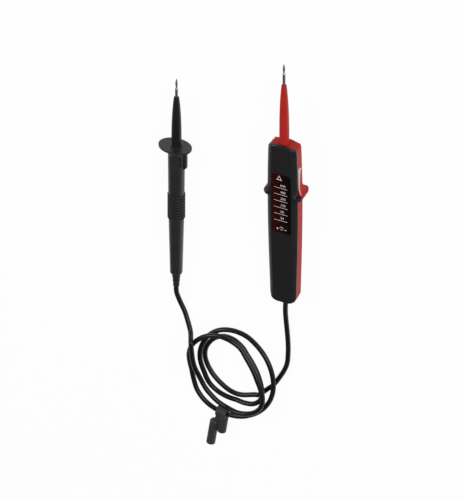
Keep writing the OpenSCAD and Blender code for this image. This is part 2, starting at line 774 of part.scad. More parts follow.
function coil_path() = let (
    first = len(unit_route),
    plan = concat(unit_route, coil_plan()),
    zs = settle(plan, [], [], []))
    [for (i = [first : len(plan) - 1]) [plan[i].x, plan[i].y, zs[i]]];

// Least gap of the coil to itself between sample points
function self_gap(path) = let (
    points = [for (i = [1 : len(path) - 1]) each strand(path[i - 1], path[i])],
    lag = crossing_lag * samples)
    min([for (i = [0 : len(points) - 1 - lag]) for (j = [i + lag : len(points) - 1])
        norm(points[i] - points[j])]) - cable_d;

function path_length(path) = len(path) < 2 ? 0
    : let (steps = [for (i = [1 : len(path) - 1]) norm(path[i] - path[i - 1])]) steps * [for (s = steps) 1];

function unit_lead_path(coil) = concat([unit_at([0, 0, unit_cable_z]), unit_at([0, -cable_d, unit_cable_z])],
    unit_route, [straight_on(coil[1], coil[0]), coil[0]]);

function probe_lead_path(coil) = let (last = len(coil) - 1)
    concat([probe_at([0, -boot_l, 0]), probe_at([0, -boot_l - cable_d, 0])], probe_route,
        [straight_on(coil[last - 1], coil[last]), coil[last]]);

module lead_unit() {
    color("#262626") tube(unit_lead_path(coil_path()), lead_sides);
}

module lead_coil() {
    path = coil_path();
    echo(least_gap = self_gap(path), highest = max([for (p = path) p.z]));
    echo(cable_length = path_length(path) + path_length(unit_lead_path(path))
        + path_length(probe_lead_path(path)));
    color("#262626") tube(path, coil_sides);
}

module lead_probe() {
    color("#262626") tube(probe_lead_path(coil_path()), lead_sides);
}

// Closed cap tube lying along Y with its mouth at y = 0
module cap_tube(l) {
    rotate([90, 0, 0]) rotate_extrude($fn = round_fn) polygon(concat([[0, -l]],
        arc(cap_d / 2 - cap_round, cap_round - l, cap_round, cap_round, -90, 0, corner_steps),
        [[cap_d / 2, 0], [0, 0]]));
}

// Bore of a cap tube of length l, with its wider mouth
module cap_bore(l) {
    translate([0, -cut, 0]) along_y() {
        cylinder(h = l - cap_floor + cut, d = cap_bore_d, $fn = round_fn);
        cylinder(h = cap_mouth_l + cut, d = cap_mouth_d, $fn = round_fn);
    }
}

// Web between the eye and the two cap tubes
module cap_web(long_x, short_y, long_y) {
    polygon([[-eye_l / 2, 0], [long_x, long_y + cap_l - cap_round], [long_x, long_y + web_foot],
        [cap_shift - cap_d / 2, short_y], [cap_shift, short_y + cap_floor], [cap_shift, 0]]);
}

// Cap on its cable: the eye, two staggered tubes and the ribbed web between them
module tip_cap() {
    a = coil_at(eye_ring);
    b = coil_at(eye_ring + 1);
    long_x = cap_shift - cap_pitch;
    short_y = -cap_neck - cap_short_l;
    long_y = short_y - cap_stagger;
    z = cap_d / 2 - eye_r;
    color("#4a4a4c") translate([(a.x + b.x) / 2, (a.y + b.y) / 2, eye_r])
        rotate(atan2(b.y - a.y, b.x - a.x) + eye_turn) difference() {
            union() {
                rotate([0, 90, 0]) cylinder(h = eye_l, r = eye_r, center = true, $fn = round_fn);
                translate([cap_shift, short_y, z]) cap_tube(cap_short_l);
                translate([long_x, long_y, z]) cap_tube(cap_l);
                translate([0, 0, z - web_t / 2]) linear_extrude(web_t) cap_web(long_x, short_y, long_y);
                translate([0, 0, z]) linear_extrude(web_t / 2 + web_rib_h) intersection() {
                    cap_web(long_x, short_y, long_y);
                    for (i = [0 : web_ribs - 1])
                        translate([cap_shift - i * web_rib_pitch, short_y - web_foot])
                            rotate(-web_rib_angle) square([web_rib_w, 2 * cap_l]);
                }
            }
            rotate([0, 90, 0]) cylinder(h = eye_l + 2 * cut, d = eye_bore_d, center = true, $fn = round_fn);
            translate([cap_shift, short_y, z]) cap_bore(cap_short_l);
            translate([long_x, long_y, z]) cap_bore(cap_l);
        }
}

rear_shell();
front_cover();
display_window();
side_window();
unit_sleeve();
unit_tip();
circuit_board();
lamps();
series_resistors();
load_thermistor();
driver_chips();
tip_contact();
case_screws();
cable_clamp();
clamp_screws();
unit_cable_tail();
probe_handle();
probe_grip();
probe_sleeve();
probe_tip();
probe_resistor();
probe_crimp();
probe_boot();
probe_cable_tail();
lead_unit();
lead_coil();
lead_probe();
tip_cap();
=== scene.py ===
# %% [markdown]
# Two-pole voltage tester
#
# The object is a display unit and a second probe, joined by one cable that lies in a loose coil with a
# double tip cap on it. The hard pieces were drawn as solids already, so this script loads them as a fixed
# frame. It then gives every piece its finish, and builds again what a solid can't show well, such as the
# cable, the ribbed ring and the print on the window.

# %% Load the solids
import math

import bmesh
import bpy
from mathutils import Matrix, Vector


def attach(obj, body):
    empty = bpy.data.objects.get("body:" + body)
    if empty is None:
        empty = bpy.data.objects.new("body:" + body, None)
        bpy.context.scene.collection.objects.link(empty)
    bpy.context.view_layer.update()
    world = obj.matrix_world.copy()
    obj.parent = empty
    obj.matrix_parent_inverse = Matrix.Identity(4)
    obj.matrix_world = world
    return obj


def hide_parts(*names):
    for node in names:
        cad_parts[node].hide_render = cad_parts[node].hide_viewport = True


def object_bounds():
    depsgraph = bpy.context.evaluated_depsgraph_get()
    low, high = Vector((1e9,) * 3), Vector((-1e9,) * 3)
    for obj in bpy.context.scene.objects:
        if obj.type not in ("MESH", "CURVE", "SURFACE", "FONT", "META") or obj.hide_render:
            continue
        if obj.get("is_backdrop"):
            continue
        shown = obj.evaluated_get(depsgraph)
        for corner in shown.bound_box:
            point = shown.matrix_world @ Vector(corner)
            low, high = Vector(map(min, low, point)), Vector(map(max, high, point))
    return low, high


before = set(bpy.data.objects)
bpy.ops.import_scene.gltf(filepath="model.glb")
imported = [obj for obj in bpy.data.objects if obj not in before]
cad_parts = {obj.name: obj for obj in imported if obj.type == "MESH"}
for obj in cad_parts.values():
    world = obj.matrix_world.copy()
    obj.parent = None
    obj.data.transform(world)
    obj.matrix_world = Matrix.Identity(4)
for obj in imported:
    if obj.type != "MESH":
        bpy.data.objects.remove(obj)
cad_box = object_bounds()
MM = 0.001

# %% [markdown]
# The camera
#
# The tools lie flat on a table, and they are seen from above, from the side of their tips and from the
# right. The camera stands far off with a long lens, because the two tools show no narrowing towards the
# top. Three directions fix it: towards the camera, to the right of the picture, and up in the picture.

# %% Place the camera
IMAGE_W, IMAGE_H = 463, 500
PIXELS_PER_M = 1150
DISTANCE, FAR_LIMIT = 11, 40
SENSOR_MM = 36
toward = Vector((0.324, 0.601, 0.731)).normalized()
right = Vector((0.908, 0.018, -0.418))
right = (right - right.dot(toward) * toward).normalized()
up = toward.cross(right)

# The middle of the display unit's cable end, in the frame and in the picture.
TAIL_POINT = Vector((0.051075, -0.11946, 0.0073))
TAIL_ACROSS, TAIL_DOWN = 285.15, 297.8
aim = TAIL_POINT - right * (TAIL_ACROSS - IMAGE_W / 2) / PIXELS_PER_M
aim += up * (TAIL_DOWN - IMAGE_H / 2) / PIXELS_PER_M

camera = bpy.data.objects.new("camera", bpy.data.cameras.new("camera"))
bpy.context.scene.collection.objects.link(camera)
turn = Matrix((right, up, toward)).transposed().to_4x4()
camera.matrix_world = Matrix.Translation(aim + toward * DISTANCE) @ turn
camera.data.sensor_fit = "HORIZONTAL"
camera.data.sensor_width = SENSOR_MM
camera.data.lens = SENSOR_MM * DISTANCE * PIXELS_PER_M / IMAGE_W
camera.data.clip_end = FAR_LIMIT
bpy.context.scene.camera = camera
bpy.context.scene.view_settings.view_transform = "Standard"
print("lens:", round(camera.data.lens, 1), "mm")

# %% [markdown]
# Nodes in a few words
#
# A material is a small graph of nodes. These helpers place a node, and feed its inputs from plain values or
# from other nodes, so that the cells below can say what a finish is made of and little else.

# %% Helpers for node graphs
def colour(red, green, blue):
    """A colour as a screen shows it, from 0 to 255, as the linear value that a shader reads."""
    def linear(c):
        """The standard curve of a screen, which is straight near black."""
        c /= 255
        return c / 12.92 if c <= 0.04045 else ((c + 0.055) / 1.055) ** 2.4
    return (linear(red), linear(green), linear(blue), 1)


def feed(tree, node, inputs):
    """Sets a node's inputs by name or number, from plain values or from other nodes' sockets."""
    for key, value in inputs.items():
        if isinstance(value, bpy.types.NodeSocket):
            tree.links.new(value, node.inputs[key])
        else:
            node.inputs[key].default_value = value


def add_node(tree, kind, inputs=None, **settings):
    """A node of that kind with its settings and its inputs."""
    node = tree.nodes.new(kind)
    for key, value in settings.items():
        setattr(node, key, value)
    feed(tree, node, inputs or {})
    return node


def new_group(name, kind, inputs, outputs):
    """An empty node group with its named sockets: (group, its input node, its output node)."""
    group = bpy.data.node_groups.new(name, kind)
    for direction, sockets in (("INPUT", inputs), ("OUTPUT", outputs)):
        for label, socket_kind in sockets.items():
            group.interface.new_socket(label, in_out=direction, socket_type="NodeSocket" + socket_kind)
    return group, group.nodes.new("NodeGroupInput"), group.nodes.new("NodeGroupOutput")


print("helpers: colour, feed, add_node, new_group")

# %% [markdown]
# Moulded grain
#
# Moulded plastic is never quite even. The mould's fine texture shows as a slight roughness, the gloss
# varies in wide soft patches, and the colour flows a little. One group makes all three from noise in the
# object's own space, and each material takes its own scale. A picture of plastic would need a map on every
# mesh and would show where it repeats, and noise needs neither.

# %% Group for moulded grain
grain_group, g_in, g_out = new_group(
    "Moulded grain", "ShaderNodeTree",
    {"Grain scale": "Float", "Patch scale": "Float"},
    {"Height": "Float", "Patches": "Float", "Flow": "Float"})
where = add_node(grain_group, "ShaderNodeTexCoord").outputs["Object"]
grain = add_node(grain_group, "ShaderNodeTexNoise",
                 {"Vector": where, "Scale": g_in.outputs["Grain scale"], "Detail": 3, "Roughness": 0.55})
patches = add_node(grain_group, "ShaderNodeTexNoise",
                   {"Vector": where, "Scale": g_in.outputs["Patch scale"], "Detail": 4, "Roughness": 0.6})
flow = add_node(grain_group, "ShaderNodeTexNoise",
                {"Vector": where, "Scale": g_in.outputs["Patch scale"], "Detail": 1, "Distortion": 0.8})
for name, noise in (("Height", grain), ("Patches", patches), ("Flow", flow)):
    grain_group.links.new(noise.outputs["Fac"], g_out.inputs[name])
print("group:", grain_group.name)

# %% [markdown]
# Scuffs
#
# A tester lives in a tool bag. Its plastic carries hair-thin scuffs that run along the tool, a little
# lighter and duller than the rest. Noise that is squeezed across one axis makes them, and a steep ramp
# keeps only its thin crests.

# %% Group for scuffs
SCUFF_LEAN, SCUFF_FINENESS = (0.3, 0.2, 0.35), (1900, 120, 1900)
scuff_group, s_in, s_out = new_group(
    "Handling scuffs", "ShaderNodeTree", {"Amount": "Float"}, {"Scuffs": "Float"})
where = add_node(scuff_group, "ShaderNodeTexCoord").outputs["Object"]
squeezed = add_node(scuff_group, "ShaderNodeMapping",
                    {"Vector": where, "Rotation": SCUFF_LEAN, "Scale": SCUFF_FINENESS})
hairs = add_node(scuff_group, "ShaderNodeTexNoise",
                 {"Vector": squeezed.outputs[0], "Scale": 1, "Detail": 2})
places = add_node(scuff_group, "ShaderNodeTexNoise", {"Vector": where, "Scale": 60, "Detail": 2})
crests = add_node(scuff_group, "ShaderNodeMapRange",
                  {"Value": hairs.outputs["Fac"], "From Min": 0.62, "From Max": 0.72})
worn = add_node(scuff_group, "ShaderNodeMapRange",
                {"Value": places.outputs["Fac"], "From Min": 0.5, "From Max": 0.7})
both = add_node(scuff_group, "ShaderNodeMath",
                {0: crests.outputs[0], 1: worn.outputs[0]}, operation="MULTIPLY")
shown = add_node(scuff_group, "ShaderNodeMath",
                 {0: both.outputs[0], 1: s_in.outputs["Amount"]}, operation="MULTIPLY")
scuff_group.links.new(shown.outputs[0], s_out.inputs[0])
print("group:", scuff_group.name)

# %% [markdown]
# One recipe for the moulded finishes
#
# Shells, handle, sleeves, cable and cap are all moulded, and differ in colour, gloss and grain. The recipe
# mixes two near shades by the flow noise, lets the roughness follow the patches, and turns the grain into a
# bump of a few hundredths of a millimetre. Each finish could have a graph of its own, but with one recipe
# they differ only in what is written for them.

# %% The moulded recipe
PATCH_LOW, PATCH_HIGH = 0.3, 0.7
SCUFF_DULLING = 0.25
MIX_FIRST, MIX_SECOND, MIX_RESULT = 6, 7, 2


def empty_material(name):
    """A new material: (material, its node tree, its shader)."""
    material = bpy.data.materials.new(name)
    material.use_nodes = True
    tree = material.node_tree
    return material, tree, tree.nodes["Principled BSDF"]


def mix_colours(tree, share, first, second):
    """A colour between two, by a share that varies over the surface."""
    mixed = add_node(tree, "ShaderNodeMix", {"Factor": share, MIX_FIRST: first, MIX_SECOND: second},
                     data_type="RGBA")
    return mixed.outputs[MIX_RESULT]


def patchy_roughness(tree, patches, rough):
    """Roughness between two values, in the soft patches of a noise."""
    patched = add_node(tree, "ShaderNodeMapRange",
                       {"Value": patches, "From Min": PATCH_LOW, "From Max": PATCH_HIGH,
                        "To Min": rough[0], "To Max": rough[1]})
    return patched.outputs[0]


def moulded(name, base, second, rough, grain_scale=2600, patch_scale=45, depth=0.02, scuffs=0.3,
            specular=0.5, scuff_colour=(120, 118, 118)):
    """A moulded finish: two shades, a range of roughness, the grain's scale per metre and its depth in mm."""
    material, tree, shader = empty_material(name)
    grain = add_node(tree, "ShaderNodeGroup", {"Grain scale": grain_scale, "Patch scale": patch_scale},
                     node_tree=grain_group)
    scuff = add_node(tree, "ShaderNodeGroup", {"Amount": scuffs}, node_tree=scuff_group)
    body = mix_colours(tree, grain.outputs["Flow"], colour(*base), colour(*second))
    worn = mix_colours(tree, scuff.outputs["Scuffs"], body, colour(*scuff_colour))
    unworn = patchy_roughness(tree, grain.outputs["Patches"], rough)
    duller = add_node(tree, "ShaderNodeMath", {0: scuff.outputs["Scuffs"], 1: SCUFF_DULLING, 2: unworn},
                      operation="MULTIPLY_ADD")
    bump = add_node(tree, "ShaderNodeBump", {"Height": grain.outputs["Height"], "Distance": depth * MM})
    feed(tree, shader, {"Base Color": worn, "Roughness": duller.outputs[0], "Normal": bump.outputs[0],
                        "Specular IOR Level": specular})
    return material


print("recipe: moulded, with", grain_group.name, "and", scuff_group.name)

# %% [markdown]
# The colours of this tester
#
# Red marks the rear shell and the first sleeve, and most of the rest is black. The blacks are not one
# black: the cover and the cable are the darkest, the handle and its ribbed ring are a little lighter, and
# the cap is a dark grey. Scuffs are a lighter shade of the piece that they are on.

# %% Moulded finishes of the outer pieces
red_shell = moulded("red shell", (172, 34, 30), (184, 42, 38), (0.42, 0.55), depth=0.03, specular=0.15,
                    scuff_colour=(200, 110, 104))
red_sleeve = moulded("red sleeve", (176, 34, 28), (184, 42, 35), (0.3, 0.4), grain_scale=1800, depth=0.012,
                     specular=0.2, scuff_colour=(205, 120, 112))
black_cover = moulded("black cover", (17, 17, 18), (22, 22, 23), (0.36, 0.48), depth=0.03, specular=0.5,
                      scuff_colour=(70, 70, 71))
cable_sheath = moulded("cable sheath", (12, 12, 13), (16, 16, 17), (0.3, 0.42), grain_scale=900, depth=0.02,
                       specular=0.35, scuffs=0.1, scuff_colour=(60, 60, 61))
black_handle = moulded("black handle", (31, 31, 32), (38, 38, 39), (0.34, 0.46), depth=0.03, specular=0.5,
                       scuff_colour=(74, 74, 75))
ribbed_rubber = moulded("ribbed rubber", (27, 27, 27), (33, 33, 33), (0.48, 0.6), grain_scale=1500,
                        depth=0.03, specular=0.35, scuff_colour=(66, 66, 66))
black_sleeve = moulded("black sleeve", (20, 20, 21), (25, 25, 26), (0.34, 0.44), grain_scale=1800,
                       depth=0.012, specular=0.3, scuff_colour=(60, 60, 61))
grey_cap = moulded("grey cap", (50, 50, 52), (58, 58, 60), (0.48, 0.62), grain_scale=1500, depth=0.03,
                   specular=0.35, scuff_colour=(104, 104, 104))
print("moulded finishes:", len(bpy.data.materials))

# %% [markdown]
# The cable's route
#
# The cable leaves the display unit's end, comes down to the table, winds three and a half loose turns and
# goes into the second probe. Its free ends are listed points, because a loose cable follows no rule
# there. The route and the coil's rule are those of the solid, so that both lie in the same place.

# %% Sizes of the cable and its route on the table
# Lengths are in millimetres, and the points are in the frame's own axes.
CABLE_D = 4.5
CABLE_R = CABLE_D / 2
unit_route = [(50.4, -133, 4.7), (50.3, -142, 3.4), (50.8, -151, 2.5), (51.8, -161, 2.25), (52.7, -171, 2.25),
              (53.1, -181, 2.25), (52.5, -193.5, 2.25), (49.9, -202.5, 2.25), (45.5, -212, 2.25),
              (40, -222, 2.25), (34, -229, 2.25)]
probe_route = [(-53.7, -151.5, 4), (-51, -160, 3), (-46.5, -169, 3), (-42.5, -178, 4.4), (-38.5, -187, 7)]
print("cable:", CABLE_D, "mm thick,", len(unit_route) + len(probe_route), "points set by hand")

# %% [markdown]
# The coil seen from above
#
# A loose loop is never a true circle. Its plan is therefore a radius that changes with the angle: a few
# shares of one reach are given at even steps of the turn, and a smooth line runs through them. One list of
# shares goes on through all the turns, so each loop has a shape of its own.

# %% The coil's plan
# Angles are in degrees, from +X and against the clock, as seen from above.
COIL_MIDDLE = Vector((0.1, -221, 0))
COIL_START, LOOP_RINGS, COIL_RINGS = 148, 24, 84
TABLE_START, TABLE_STEP, COIL_REACH = 145, 45, 40
EYE_RING, EYE_R = 31, 4.8
REACH_SHARES = (2.02, 1.03, 0.75, 0.77, 0.97, 0.98, 0.73, 0.75, 1.06, 1.06, 0.97, 1.135, 1.145, 1.055, 1.06,
                1.13, 1.15, 0.87, 0.645, 0.67, 0.69, 0.87, 0.705, 0.69, 0.925, 0.78, 0.55, 0.48, 0.575, 0.725,
                1.15)


def smooth(p, t):
    """A value or point between p[1] and p[2] on a smooth line through all four."""
    return (2 * p[1] + (p[2] - p[0]) * t + (2 * p[0] - 5 * p[1] + 4 * p[2] - p[3]) * t * t
            + (3 * (p[1] - p[2]) + p[3] - p[0]) * t * t * t) / 2


def coil_ring(i):
    """The cable's middle at a step of the coil. It lies higher where it runs through the cap's eye."""
    angle = COIL_START + 360 * i / LOOP_RINGS
    u = (angle - TABLE_START) / TABLE_STEP
    reach = COIL_REACH * smooth(REACH_SHARES[int(u):int(u) + 4], u - int(u))
    floor = EYE_R if i in (EYE_RING, EYE_RING + 1) else CABLE_R
    return COIL_MIDDLE + Vector((reach * math.cos(math.radians(angle)), reach * math.sin(math.radians(angle)),
                                 floor))


def straight_on(a, b):
    """A point one diameter past b, on the line from a."""
    return b + CABLE_D * (b - a).normalized()


rings = [coil_ring(i) for i in range(COIL_RINGS - 1, -1, -1)]
plan = [Vector(p) for p in unit_route]
plan += [straight_on(rings[1], rings[0]), *rings, straight_on(rings[-2], rings[-1])]
print("plan of the coil:", len(rings), "rings,", COIL_RINGS / LOOP_RINGS, "turns")

# %% [markdown]
# Strands that cross
#
# A real cable can't pass through itself, so where a strand crosses one that lies lower, it rises over it in
# a long low hump. The loop below lays the cable from the display unit on. Each point looks a few steps
# ahead and back for a crossing, and takes a share of the height that is needed there. The points right
# behind it are left out, since a strand needn't rise over itself. A physics simulation could settle the
# cable as well, but a rule lays it the same way every time.

# %% Lay each strand over those below it
STRAND_GAP = 0.75
OVER = CABLE_D + STRAND_GAP
HUMP_SHARES = (1, 0.93, 0.75, 0.5, 0.25)
HUMP_REACH, SAMPLES, LAG = 4, 4, 8


def strand(a, b):
    """A few points from a towards b, without b."""
    return [a + (b - a) * s / SAMPLES for s in range(SAMPLES)]


def needed(low, m):
    """Least height at which ring m lies clear on the strands below it."""
    heights = [plan[m].z]
    for end in (plan[max(m - 1, 0)], plan[min(m + 1, len(plan) - 1)]):
        for p in strand(plan[m], end):
            for q in low:
                d = math.hypot(p.x - q.x, p.y - q.y)
                if d < OVER:
                    heights.append(q.z + math.sqrt(OVER * OVER - d * d))
    return max(heights)


low, laid, needs, last = [], [], [], len(plan) - 1
for k in range(len(plan)):
    while len(needs) <= min(k + HUMP_REACH, last):
        needs.append(needed(low, len(needs)))
    near = range(max(k - HUMP_REACH, 0), min(k + HUMP_REACH, last) + 1)
    z = max(CABLE_R + HUMP_SHARES[abs(m - k)] * (needs[m] - CABLE_R) for m in near)
    laid.append(Vector((plan[k].x, plan[k].y, z)))
    j = k + HUMP_REACH - LAG
    if j > 0:
        low += strand(laid[j - 1], laid[j])
coil = laid[len(unit_route):]
print("highest strand:", round(max(p.z for p in coil), 2), "mm")

# %% [markdown]
# From housing to housing
#
# Each tool lies a little tilted, because its guard is thicker than its cable end. One matrix for each tool
# puts its own millimetres on the table in metres. With them the route gets its two ends, where the cable
# comes out straight, and a smooth line then runs through all its points.

# %% The whole route in metres
def lying(x, y, lift, tilt):
    """The matrix that puts a tool's own frame on the table, in metres."""
    return Matrix.Scale(MM, 4) @ Matrix.Translation((x, y, lift)) @ Matrix.Rotation(tilt, 4, "X")


UNIT_X, UNIT_Y, UNIT_LIFT, UNIT_TILT = 51.075, -119.895, 14.684, math.radians(3.42387)
PROBE_X, PROBE_Y, PROBE_LIFT, PROBE_TILT = -53.925, -127.390, 5.6638, math.radians(2.00132)
unit_place = lying(UNIT_X, UNIT_Y, UNIT_LIFT, UNIT_TILT)
probe_place = lying(PROBE_X, PROBE_Y, PROBE_LIFT, PROBE_TILT)
UNIT_CABLE_Z, BOOT_L = -8.6, 14.6
FINE_STEPS = 6
unit_out = [unit_place @ Vector((0, -y, UNIT_CABLE_Z)) for y in (0, CABLE_D)]
probe_out = [probe_place @ Vector((0, -BOOT_L - y, 0)) for y in (0, CABLE_D)]
free = [Vector(p) for p in unit_route] + [straight_on(coil[1], coil[0]), *coil]
free += [straight_on(coil[-2], coil[-1])] + [Vector(p) for p in reversed(probe_route)]
route = unit_out + [p * MM for p in free] + probe_out[::-1]


def fine_line(points, steps):
    """The same line with more points, smooth through all of them."""
    padded = [2 * points[0] - points[1], *points, 2 * points[-1] - points[-2]]
    line = [smooth(padded[i:i + 4], s / steps) for i in range(len(points) - 1) for s in range(steps)]
    return line + [points[-1]]


line = fine_line(route, FINE_STEPS)

# %% [markdown]
# The cable as a tube
#
# A ring of points is carried along the line without twisting, and the rings are joined to one skin. The
# frame of each ring is turned only as far as the line bends, so the tube stays round and even in its humps.
# A curve with a bevel would do as well. Here the tube is built straight from the line's points.

# %% Build the cable
CABLE_SIDES = 20


def link(name, mesh, *materials):
    """An object of that mesh in the scene."""
    piece = bpy.data.objects.new(name, mesh)
    bpy.context.scene.collection.objects.link(piece)
    for material in materials:
        mesh.materials.append(material)
    return piece


def tube(name, line, radius, sides, material):
    """A round tube along a line, closed at both ends."""
    bm = bmesh.new()
    along = (line[1] - line[0]).normalized()
    side = along.cross(Vector((0, 0, 1))).normalized()
    turn = [2 * math.pi * j / sides for j in range(sides)]
    loops = []
    for i, p in enumerate(line):
        way = (line[min(i + 1, len(line) - 1)] - line[max(i - 1, 0)]).normalized()
        side = along.rotation_difference(way) @ side
        side = (side - side.dot(way) * way).normalized()
        other, along = way.cross(side), way
        loops.append([bm.verts.new(p + radius * (math.cos(a) * side + math.sin(a) * other)) for a in turn])
    for a, b in zip(loops, loops[1:]):
        for j in range(sides):
            bm.faces.new((a[j], a[(j + 1) % sides], b[(j + 1) % sides], b[j])).smooth = True
    bm.faces.new(loops[0][::-1])
    bm.faces.new(loops[-1])
    mesh = bpy.data.meshes.new(name)
    bm.to_mesh(mesh)
    bm.free()
    return link(name, mesh, material)


cable = tube("tester_cable", line, CABLE_R * MM, CABLE_SIDES, cable_sheath)
print("cable:", len(cable.data.polygons), "faces")

# %% [markdown]
# A finer skin over a solid
#
# The solids have crisp edges, and a moulded piece never has one. A copy of the solid's mesh is merged,
# because it comes as loose triangles, and its flat faces are joined again. A small bevel then rounds the
# edges, and weighted normals keep the flats flat. The copy stands for the solid, which stays hidden in its
# place.

# %% Helper that copies and merges a solid
WELD = 1e-6
FLAT_ANGLE, SHARP_ANGLE = math.radians(0.3), math.radians(28)


def merged(node, name, shape=None):
    """A merged copy of a solid's mesh, with its sharp edges kept sharp. Shape moves its points."""
    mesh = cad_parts[node].data.copy()
    mesh.name = name
    mesh.materials.clear()
    bm = bmesh.new()
    bm.from_mesh(mesh)
    bmesh.ops.remove_doubles(bm, verts=bm.verts, dist=WELD)
    if shape:
        for point in bm.verts:
            point.co = shape(point.co)
    bmesh.ops.dissolve_limit(bm, angle_limit=FLAT_ANGLE, verts=bm.verts, edges=bm.edges)
    for face in bm.faces:
        face.smooth = True
    for edge in bm.edges:
        edge.smooth = len(edge.link_faces) == 2 and edge.calc_face_angle(math.pi) < SHARP_ANGLE
    bm.to_mesh(mesh)
    bm.free()
    return mesh


print("edges over", round(math.degrees(SHARP_ANGLE)), "degrees stay sharp")

def rounded(name, mesh, material, round_mm=0.25, segments=2):
    """A piece of that mesh with its edges rounded."""
    piece = link(name, mesh, material)
    bevel = piece.modifiers.new("round edges", "BEVEL")
    bevel.width = round_mm * MM
    bevel.segments = segments
    bevel.limit_method = "ANGLE"
    bevel.angle_limit = SHARP_ANGLE
    bevel.harden_normals = True
    piece.modifiers.new("flat faces stay flat", "WEIGHTED_NORMAL")
    return piece


def finish_piece(piece, slot, *nodes, body="tester"):
    """Says which body a piece rides on, and which solids it stands for, which it hides. The slot is not used.
    """
    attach(piece, body)
    if nodes:
        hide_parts(*nodes)


def dress(node, name, material, slot, body="tester", round_mm=0.25, shape=None):
    """A rounded copy of a solid, which stands for it."""
    piece = rounded(name, merged(node, name, shape), material, round_mm)
    finish_piece(piece, slot, node, body=body)
    return piece


print("helpers: rounded, finish_piece, dress")

# %% [markdown]
# The double cap and the cord
#
# The cap is two short rubber tubes side by side, for the two tips, with an eye that the cable runs through.
# Its edges are softer than those of the hard pieces, since it is moulded rubber. The cap's solid has its form
# already, so a rounded copy is enough. The cable then stands for the lead solids, which are hidden, and rides
# on the tester's body, while the cap rides on a body of its own.

cap = dress("tip_cap", "double_tip_cap", grey_cap, "cap_rubber", body="cap", round_mm=0.35)
finish_piece(cable, "cable_rubber", "lead_unit", "lead_coil", "lead_probe")

# %% [markdown]
# Table and light
#
# The table is plain white and has no edge in the picture. Camera rays see it almost as its own light, which
# keeps it white without more light on the tester, and the little that is left of its shading keeps the
# shadow. Two broad soft lamps and a dim sky give a level at which a colour shows about as it is written.

# %% Build the table
WHITE, PAPER = (1, 1, 1, 1), (0.9, 0.9, 0.9, 1)
OWN_LIGHT_SHARE, TABLE_REACH = 0.96, 3
white_table, tree, shader = empty_material("white table")
feed(tree, shader, {"Base Color": PAPER, "Roughness": 0.9})
own_light = add_node(tree, "ShaderNodeEmission", {"Color": WHITE, "Strength": 1})
rays = add_node(tree, "ShaderNodeLightPath")
seen = rays.outputs["Is Camera Ray"]
for kind in ("Is Glossy Ray", "Is Transmission Ray"):
    seen = add_node(tree, "ShaderNodeMath", {0: seen, 1: rays.outputs[kind]}, operation="MAXIMUM").outputs[0]
share = add_node(tree, "ShaderNodeMath", {0: seen, 1: OWN_LIGHT_SHARE}, operation="MULTIPLY")
mixed = add_node(tree, "ShaderNodeMixShader",
                 {0: share.outputs[0], 1: shader.outputs[0], 2: own_light.outputs[0]})
tree.links.new(mixed.outputs[0], tree.nodes["Material Output"].inputs["Surface"])

table_mesh = bpy.data.meshes.new("table")
corners = [(x * TABLE_REACH, y * TABLE_REACH, 0) for x, y in ((-1, -1), (1, -1), (1, 1), (-1, 1))]
table_mesh.from_pydata(corners, [], [(0, 1, 2, 3)])
table = link("table", table_mesh, white_table)
table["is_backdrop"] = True
print("table:", 2 * TABLE_REACH, "m wide")

# %% Place the lamps
SKY_LIGHT = 0.14
LAMP_AIM = Vector((0, -0.08, 0))
sky = bpy.data.worlds.new("studio")
bpy.context.scene.world = sky
sky.use_nodes = True
feed(sky.node_tree, sky.node_tree.nodes["Background"], {"Color": WHITE, "Strength": SKY_LIGHT})


def soft_lamp(name, place, size, power):
    """A square lamp of that size in metres and power in watts, turned to the tester."""
    light = bpy.data.lights.new(name, "AREA")
    light.size, light.energy = size, power
    lamp = bpy.data.objects.new(name, light)
    lamp.location = place
    lamp.rotation_mode = "QUATERNION"
    lamp.rotation_quaternion = (LAMP_AIM - Vector(place)).to_track_quat("-Z", "Y")
    bpy.context.scene.collection.objects.link(lamp)


soft_lamp("left lamp", place=(-1.1, 0.5, 1.2), size=0.8, power=14)
soft_lamp("right lamp", place=(1.2, 0.4, 1.0), size=0.9, power=16)
print("lamps:", len(bpy.data.lights), "and a sky of", SKY_LIGHT)

# %% [markdown]
# The form of the display unit
#
# The rear shell is red and carries the scooped half of the finger guard, and the black cover closes it from
# the front. The seam, the window's seat and the overall width, depth and length are those of the solids.
# The solids' corners are a little too soft, and their guard stands out a little too far. So the skins move
# some of their points: the long corners at the back get crisper, the cover's long bevels flatter and the
# guard slimmer. For that the script needs the housing's own rule, which gives its width and the guard's
# rise at each distance from the cable end.

# %% Sizes of the housing and its guard
# Millimetres in the unit's own frame: X across it, Y from the cable end and Z up from the front.
TAIL_W, GUARD_W, TOP_W, UNIT_DEPTH, SEAM_Z, UNIT_L = 24.1, 28.6, 26.4, 14.8, -5, 176
GUARD_Y, GUARD_SLANT, GUARD_RIM, GUARD_SCOOP, GUARD_BACK = 118.5, 0.4, 2.8, 11, 7
GUARD_SIDE, SLIM_SIDE = 5, 3.6
BACK_CORNER, CRISP_CORNER = 5, 1.8
BEVEL_W, BEVEL_H, FLATTEN = 4.5, 3.2, 0.75
EDGE = 1
NO_SCOOP = 0.01


def plain_half(y):
    """Half the housing's width without its guard."""
    if y < GUARD_Y:
        return (TAIL_W + (GUARD_W - TAIL_W) * math.sin(math.pi / 2 * max(y, 0) / GUARD_Y)) / 2
    along = min(y - GUARD_Y, UNIT_L - GUARD_Y) / (UNIT_L - GUARD_Y)
    return (TOP_W + (GUARD_W - TOP_W) * math.cos(math.pi / 2 * along)) / 2


